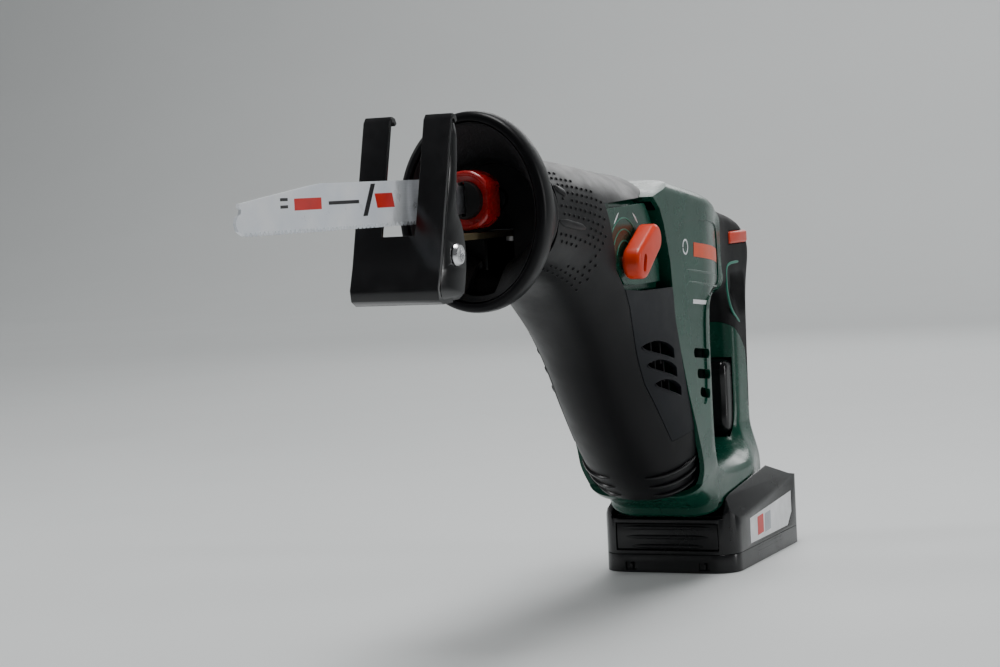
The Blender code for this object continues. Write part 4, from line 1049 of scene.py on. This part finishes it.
def battery_block(low, high):
    length, width = BATTERY_LENGTH / 2, BATTERY_WIDTH / 2
    outline = []
    for cx, cy, first in ((1, 1, 0), (-1, 1, 90), (-1, -1, 180), (1, -1, 270)):
        corner = FRONT_CORNER if cx > 0 else REAR_CORNER
        outline += arc((cx * (length - corner), cy * (width - corner)), corner, first, first + 90, 14)
    solid = plate([outline], -high, -low)
    solid.data.transform(Matrix.Rotation(math.radians(-90), 4, "X"))
    return solid


LABEL = [(30, 12.0), (-38, 12.0), (-46, 19), (-46, 31.0), (30, 26)]


def make_battery():
    length, width = BATTERY_LENGTH / 2, BATTERY_WIDTH / 2
    inner = width - EAR_WIDTH
    above = [(70, PANEL_TOP), (length - 2, 31), (length - 8, 40), (4, 49.5), (-18, 49.5), (-46, 41),
             (-70, 37), (-70, 70), (70, 70)]
    upper = battery_block(TRAY_TOP + GAP, 52)
    upper = cut(upper,
                box((-70, -inner, DECK_TOP), (length - 8.5, inner, 60)),
                box((0, -inner, PANEL_TOP), (70, inner, 60)),
                plate([above], -60, 60))
    for side in (1, -1):
        chamfer = box((-80, 0, 0), (80, 20, 40))
        slope = Matrix.Rotation(SHOULDER_SLOPE, 4, "Y")
        if side < 0:
            chamfer.data.transform(Matrix.Translation((0, -20 * MM, 0)))
        place = Matrix.Translation((0, side * width * MM, SHOULDER_HEIGHT * MM))
        chamfer.data.transform(place @ slope @ Matrix.Rotation(SHOULDER_LEAN * side, 4, "X"))
        upper = cut(upper, chamfer)
    upper = cut(upper, box((-length + 1.8, -width + 2, 0), (length - 9.5, width - 2, DECK_TOP - 2)))
    rails = [side * (inner - 1.2) for side in (1, -1)]
    upper = join(upper, *[box((-length + 8, y - 1.6, 25.2), (length - 9, y + 1.6, 27.6)) for y in rails])
    for side in (1, -1):
        upper = cut(upper, side_plate(LABEL, side, width - 0.7, width + 2))
    upper = cut(upper, box((length - 6.2, -PANEL_HALF - 0.4, 12.0), (length + 3, PANEL_HALF + 0.4, 27)))
    upper = softened(upper, 0.7, 3)
    piece(upper, "battery_case", "battery", "black_plastic", "black_plastic", "battery_upper_case")
    for side, name in ((1, "left"), (-1, "right")):
        label = softened(side_plate(shrunk(LABEL, 0.3), side, width - 0.45, width - 0.14), 0.1, 2)
        piece(label, "white_label_" + name, "battery", "white_label", "white_label", "battery_label_" + name)
        for index, (x, ink) in enumerate(((12, "red_ink"), (-1, "grey_ink"))):
            corners = [(x + 5, 14.6), (x - 5.4, 15.2), (x - 5.4, 25.4), (x + 5, 24.8)]
            block = side_plate(corners, side, width - 0.2, width - 0.02)
            piece(block, "label_block_%s_%d" % (name, index + 1), "battery", ink, "white_label")
    make_release_panel(length)
    make_tray(length, width)


def make_release_panel(length):
    """The front panel with three raised bars, which is pressed to release the battery."""
    panel = box((length - 2.9, -PANEL_HALF, 12.4), (length - 0.9, PANEL_HALF, 26.6))
    panel = softened(panel, 0.5, 3)
    bars = []
    for index, reach in enumerate(PANEL_BARS):
        z = BAR_TOP - BAR_PITCH * index
        stops = [(Vector((length - 1.1, reach * (1 - i / 6), z)), Vector((1, 0, 0))) for i in range(13)]
        bars.append(strip(stops, 2.3, 1.05))
    piece(panel, "release_panel", "battery_release", "black_plastic", "black_plastic",
          "battery_release_panel")
    piece(united(bars), "release_panel_bars", "battery_release", "black_plastic", "black_plastic")


def make_tray(length, width):
    """The tray with its two front slots and a groove at the parting line."""
    tray = battery_block(0, TRAY_TOP)
    tray = cut(tray, box((-length + 3.2, -width + 3.2, 1.8), (length - 9.5, width - 3.2, 40)))
    for y in (TRAY_SLOT, -TRAY_SLOT):
        tray = cut(tray, box((length - 1.6, y - 3.2, 1.2), (length + 3, y + 3.2, 5.6)))
    tray = softened(tray, 0.8, 3)
    piece(tray, "battery_bottom", "battery", "black_plastic", "black_plastic", "battery_tray")
    ribs = []
    for side in (1, -1):
        for z in (10.9, 8.4, 6.0):
            path = [Vector((40 - 88 * i / 8, side * (width - 0.25), z)) for i in range(9)]
            ribs.append(strip([(point, Vector((0, side, 0))) for point in path], 0.9, 0.25))
    piece(united(ribs), "battery_side_ribs", "battery", "black_plastic", "black_plastic")
    pins = [softened(box((length - 1.5, y - 0.7, 1.6), (length - 0.3, y + 0.7, 5.2)), 0.25, 2)
            for y in (TRAY_SLOT, -TRAY_SLOT)]
    piece(united(pins), "tray_slot_pins", "battery", "black_plastic", "black_plastic")


make_battery()


# ---------------------------------------------------------------- foot

def make_foot():
    px, pz = FOOT_PIVOT
    front = [(343.0, 241.2), (344.4, 243.6), (347.4, 244.2), (349.6, 242.0), (366.8, 181), (370.2, 171.5),
             (369.4, 166.8), (365.4, 164.6), (356, 164.9)]
    back = [(356, 164.9 + SHEET), (364.6, 164.6 + SHEET), (367.4, 168.0), (368.2, 171.4), (364.8, 180.6),
            (347.8, 241.4), (347.0, 242.2), (345.6, 241.8), (344.6, 240.2)]
    foot = plate([front + back], -FOOT_HALF_WIDTH, FOOT_HALF_WIDTH)
    foot = cut(foot, box((330, -8, 193.5), (375, 8, 260)))
    flange = [(345.6, 240), (343.6, 232), (348.6, 204), (342.5, 196), (340.4, 186), (341.5, 176), (345, 166),
              (366, 165.6), (367.6, 171.4), (364.2, 181), (350, 231), (348, 240)]
    for side in (1, -1):
        foot = join(foot, side_plate(smooth_outline(flange, 1), side, FOOT_HALF_WIDTH - SHEET + 0.01,
                                     FOOT_HALF_WIDTH - 0.01))
    foot = cut(foot, bar((px, -30, pz), (px, 30, pz), 2.8, 32))
    foot = softened(foot, 0.45, 3)
    piece(foot, "stamped_foot", "foot", "black_steel", "black_steel", "foot_plate")
    for side, name in ((1, "left"), (-1, "right")):
        head = join(bar((px, side * 14.0, pz), (px, side * 21.0, pz), 2.15, 32),
                    bar((px, side * 20.8, pz), (px, side * 22.6, pz), 5.0, 48, 4.0))
        low, high = sorted((side * 21.4, side * 24.0))
        for reach, rise in ((2.9, 0.55), (0.55, 2.9)):
            head = cut(head, box((px - reach, low, pz - rise), (px + reach, high, pz + rise)))
        piece(softened(head, 0.15, 2), "cross_screw_" + name, "housing", "bright_steel", "bright_steel",
              "foot_pivot_screw_" + name)


# ---------------------------------------------------------------- blade and clamp

def make_blade():
    back = PLUNGER_HEIGHT + 0.5 + BLADE_HEIGHT / 2
    edge = back - BLADE_HEIGHT
    root = PLUNGER_HEIGHT + 0.5
    outline = [(BLADE_ROOT, root + 6.2), (BLADE_ROOT, root - 6.2), (298, root - 6.2), (303, edge + 3.0),
               (308, edge + 1.5)]
    x = 309.0
    step = 0
    while x < BLADE_TIP - 8:
        pitch = 2.6 + 0.9 * ((step // 5) % 2)
        outline += [(x, edge), (x + pitch * 0.3, edge + 1.7), (x + pitch * 0.55, edge + 1.5)]
        x += pitch
        step += 1
    outline += [(BLADE_TIP - 5.5, edge + 0.4), (BLADE_TIP - 1.5, edge + 2.2), (BLADE_TIP, edge + 5.2),
                (BLADE_TIP - 1.4, edge + 7.6), (BLADE_TIP - 4.0, edge + 8.6), (BLADE_TIP - 4.6, edge + 10.2),
                (BLADE_TIP - 2.8, edge + 11.4), (BLADE_TIP - 3.4, edge + 12.4)]
    outline += [(440, back - 1.0), (428, back), (306, back), (302, root + 6.2)]
    blade = plate([outline], -BLADE_THICKNESS / 2, BLADE_THICKNESS / 2)
    piece(blade, "toothed_blade", "blade", "blade_paint", "blade_paint", "saw_blade")
    red, black = [], []
    middle = back - BLADE_HEIGHT * 0.42
    red_marks = [[(430, -2.2), (452, -2.2), (452, 2.4), (430, 2.4)],
                 [(366, -3), (382, -3), (384, 3), (368, 3)]]
    black_marks = [[(391, -6), (395, -6), (387, 7), (383, 7)]]
    black_marks += [[(457, row), (463, row), (463, row + 1.2), (457, row + 1.2)] for row in (-1.2, 1.6)]
    black_marks += [[(398, -0.7), (424, -0.7), (424, 0.7), (398, 0.7)]]
    for side in (1, -1):
        for shapes, outlines in ((red, red_marks), (black, black_marks)):
            for outline in outlines:
                shapes.append(side_plate([(x, middle + z) for x, z in outline], side,
                                         BLADE_THICKNESS / 2 - 0.1, BLADE_THICKNESS / 2 + 0.03))
    piece(united(red), "blade_red_print", "blade", "red_ink", "blade_paint")
    piece(united(black), "blade_black_print", "blade", "black_ink", "blade_paint")


def make_clamp():
    """The red sleeve that opens the blade clamp, with flat sides, flutes and a front face."""
    profile = [(9.6, 0.5), (9.6, 12.2), (7.2, 12.6), (7.2, 13.4), (11.0, 13.6), (11.6, 14.5), (12.6, 14.5),
               (13.3, 13.6), (13.4, 12.6), (13.4, 7), (13.4, 1.6), (12.8, 0.3), (12.2, 0), (10.0, 0)]
    sleeve = turned((281, 0, PLUNGER_HEIGHT), (1, 0, 0), profile)
    for angle in (90, 62, 118, 270, 242, 298):
        y = FLUTE_CIRCLE * math.cos(math.radians(angle))
        z = PLUNGER_HEIGHT + FLUTE_CIRCLE * math.sin(math.radians(angle))
        sleeve = cut(sleeve, bar((283.5, y, z), (292, y, z), 2.0, 24))
    for side in (1, -1):
        low, high = sorted((side * SLEEVE_FLAT, side * 20))
        sleeve = cut(sleeve, box((270, low, 180), (300, high, 230)))
    piece(softened(sleeve, 0.3, 2), "red_sleeve", "sleeve", "red_plastic", "red_plastic", "clamp_sleeve")


make_foot()
make_blade()
make_clamp()


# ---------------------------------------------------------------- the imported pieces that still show

CARRIED_LOOKS = {"black_steel": "dark_steel"}    # every other slot takes the look of its own name


def dress_carried_nodes():
    """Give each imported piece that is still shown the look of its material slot."""
    for slot in frame["record"]["materials"]:
        for node in slot.get("nodes", []):
            obj = frame["nodes"][node]
            obj.data.materials.clear()
            obj.data.materials.append(LOOKS[CARRIED_LOOKS.get(slot["slot"], slot["slot"])])


dress_carried_nodes()


# ---------------------------------------------------------------- floor, light and camera

def make_floor():
    """A pale studio sweep: a floor that curves up into a wall far behind the saw."""
    side = SWEEP_WIDTH / 2
    profile = [(SWEEP_FRONT, 0), (SWEEP_BEND, 0)]
    profile += arc((SWEEP_BEND, SWEEP_RADIUS), SWEEP_RADIUS, 270, 180, 24)[1:]
    profile += [(SWEEP_BEND - SWEEP_RADIUS, SWEEP_TOP)]
    shape = bmesh.new()
    rows = [(shape.verts.new((x, -side, z)), shape.verts.new((x, side, z))) for x, z in profile]
    for near, far in zip(rows, rows[1:]):
        shape.faces.new((near[0], near[1], far[1], far[0]))
    floor = object_of(shape, "floor")
    floor.location.z = -FLOOR_DROP * MM
    floor.data.shade_smooth()
    made, tree, shader = shader_links("pale_floor")
    shade = mixed(tree, noise(tree, 3.0, 4.0), (0.70, 0.72, 0.72), (0.74, 0.76, 0.76))
    tree.links.new(shade, shader.inputs["Base Color"])
    tree.links.new(ramp(tree, noise(tree, 9.0), 0.3, 0.7, 0.5, 0.62), shader.inputs["Roughness"])
    shader.inputs["Specular IOR Level"].default_value = 0.2
    floor.data.materials.append(made)


def area_light(name, place, target, size, power):
    data = bpy.data.lights.new(name, "AREA")
    data.shape = "RECTANGLE"
    data.size, data.size_y = size
    data.energy = power
    light = linked(bpy.data.objects.new(name, data))
    light.location = place
    light.rotation_euler = (Vector(target) - Vector(place)).to_track_quat("-Z", "Y").to_euler()


def make_lights():
    world = bpy.data.worlds.new("studio")
    bpy.context.scene.world = world
    world.use_nodes = True
    sky = world.node_tree.nodes["Background"]
    sky.inputs["Color"].default_value = (0.80, 0.82, 0.83, 1)
    sky.inputs["Strength"].default_value = 0.15
    middle = (0.15, 0.0, 0.15)
    area_light("overhead", (0.1, 0.1, 1.6), middle, (0.8, 0.6), 21)
    area_light("near_side", (-0.3, 1.7, 0.5), middle, (0.2, 1.1), 8)
    area_light("far_side", (0.7, -1.3, 0.9), middle, (0.3, 0.9), 6)
    area_light("behind", (-1.7, -0.3, 0.8), (0.15, 0.0, 0.2), (1.2, 0.3), 4.5)
    area_light("backdrop", (-2.3, 0.0, 3.0), (-4.5, -0.5, 0.8), (4.0, 1.0), 75)


def make_camera():
    data = bpy.data.cameras.new("camera")
    data.lens = LENS
    data.sensor_width = SENSOR
    data.clip_start = 0.01
    data.clip_end = 100
    camera = linked(bpy.data.objects.new("camera", data))
    turn = Matrix((CAMERA_RIGHT, CAMERA_UP, CAMERA_BACK)).transposed().to_4x4()
    camera.matrix_world = Matrix.Translation(CAMERA_PLACE) @ turn
    bpy.context.scene.camera = camera


make_floor()
make_lights()
make_camera()
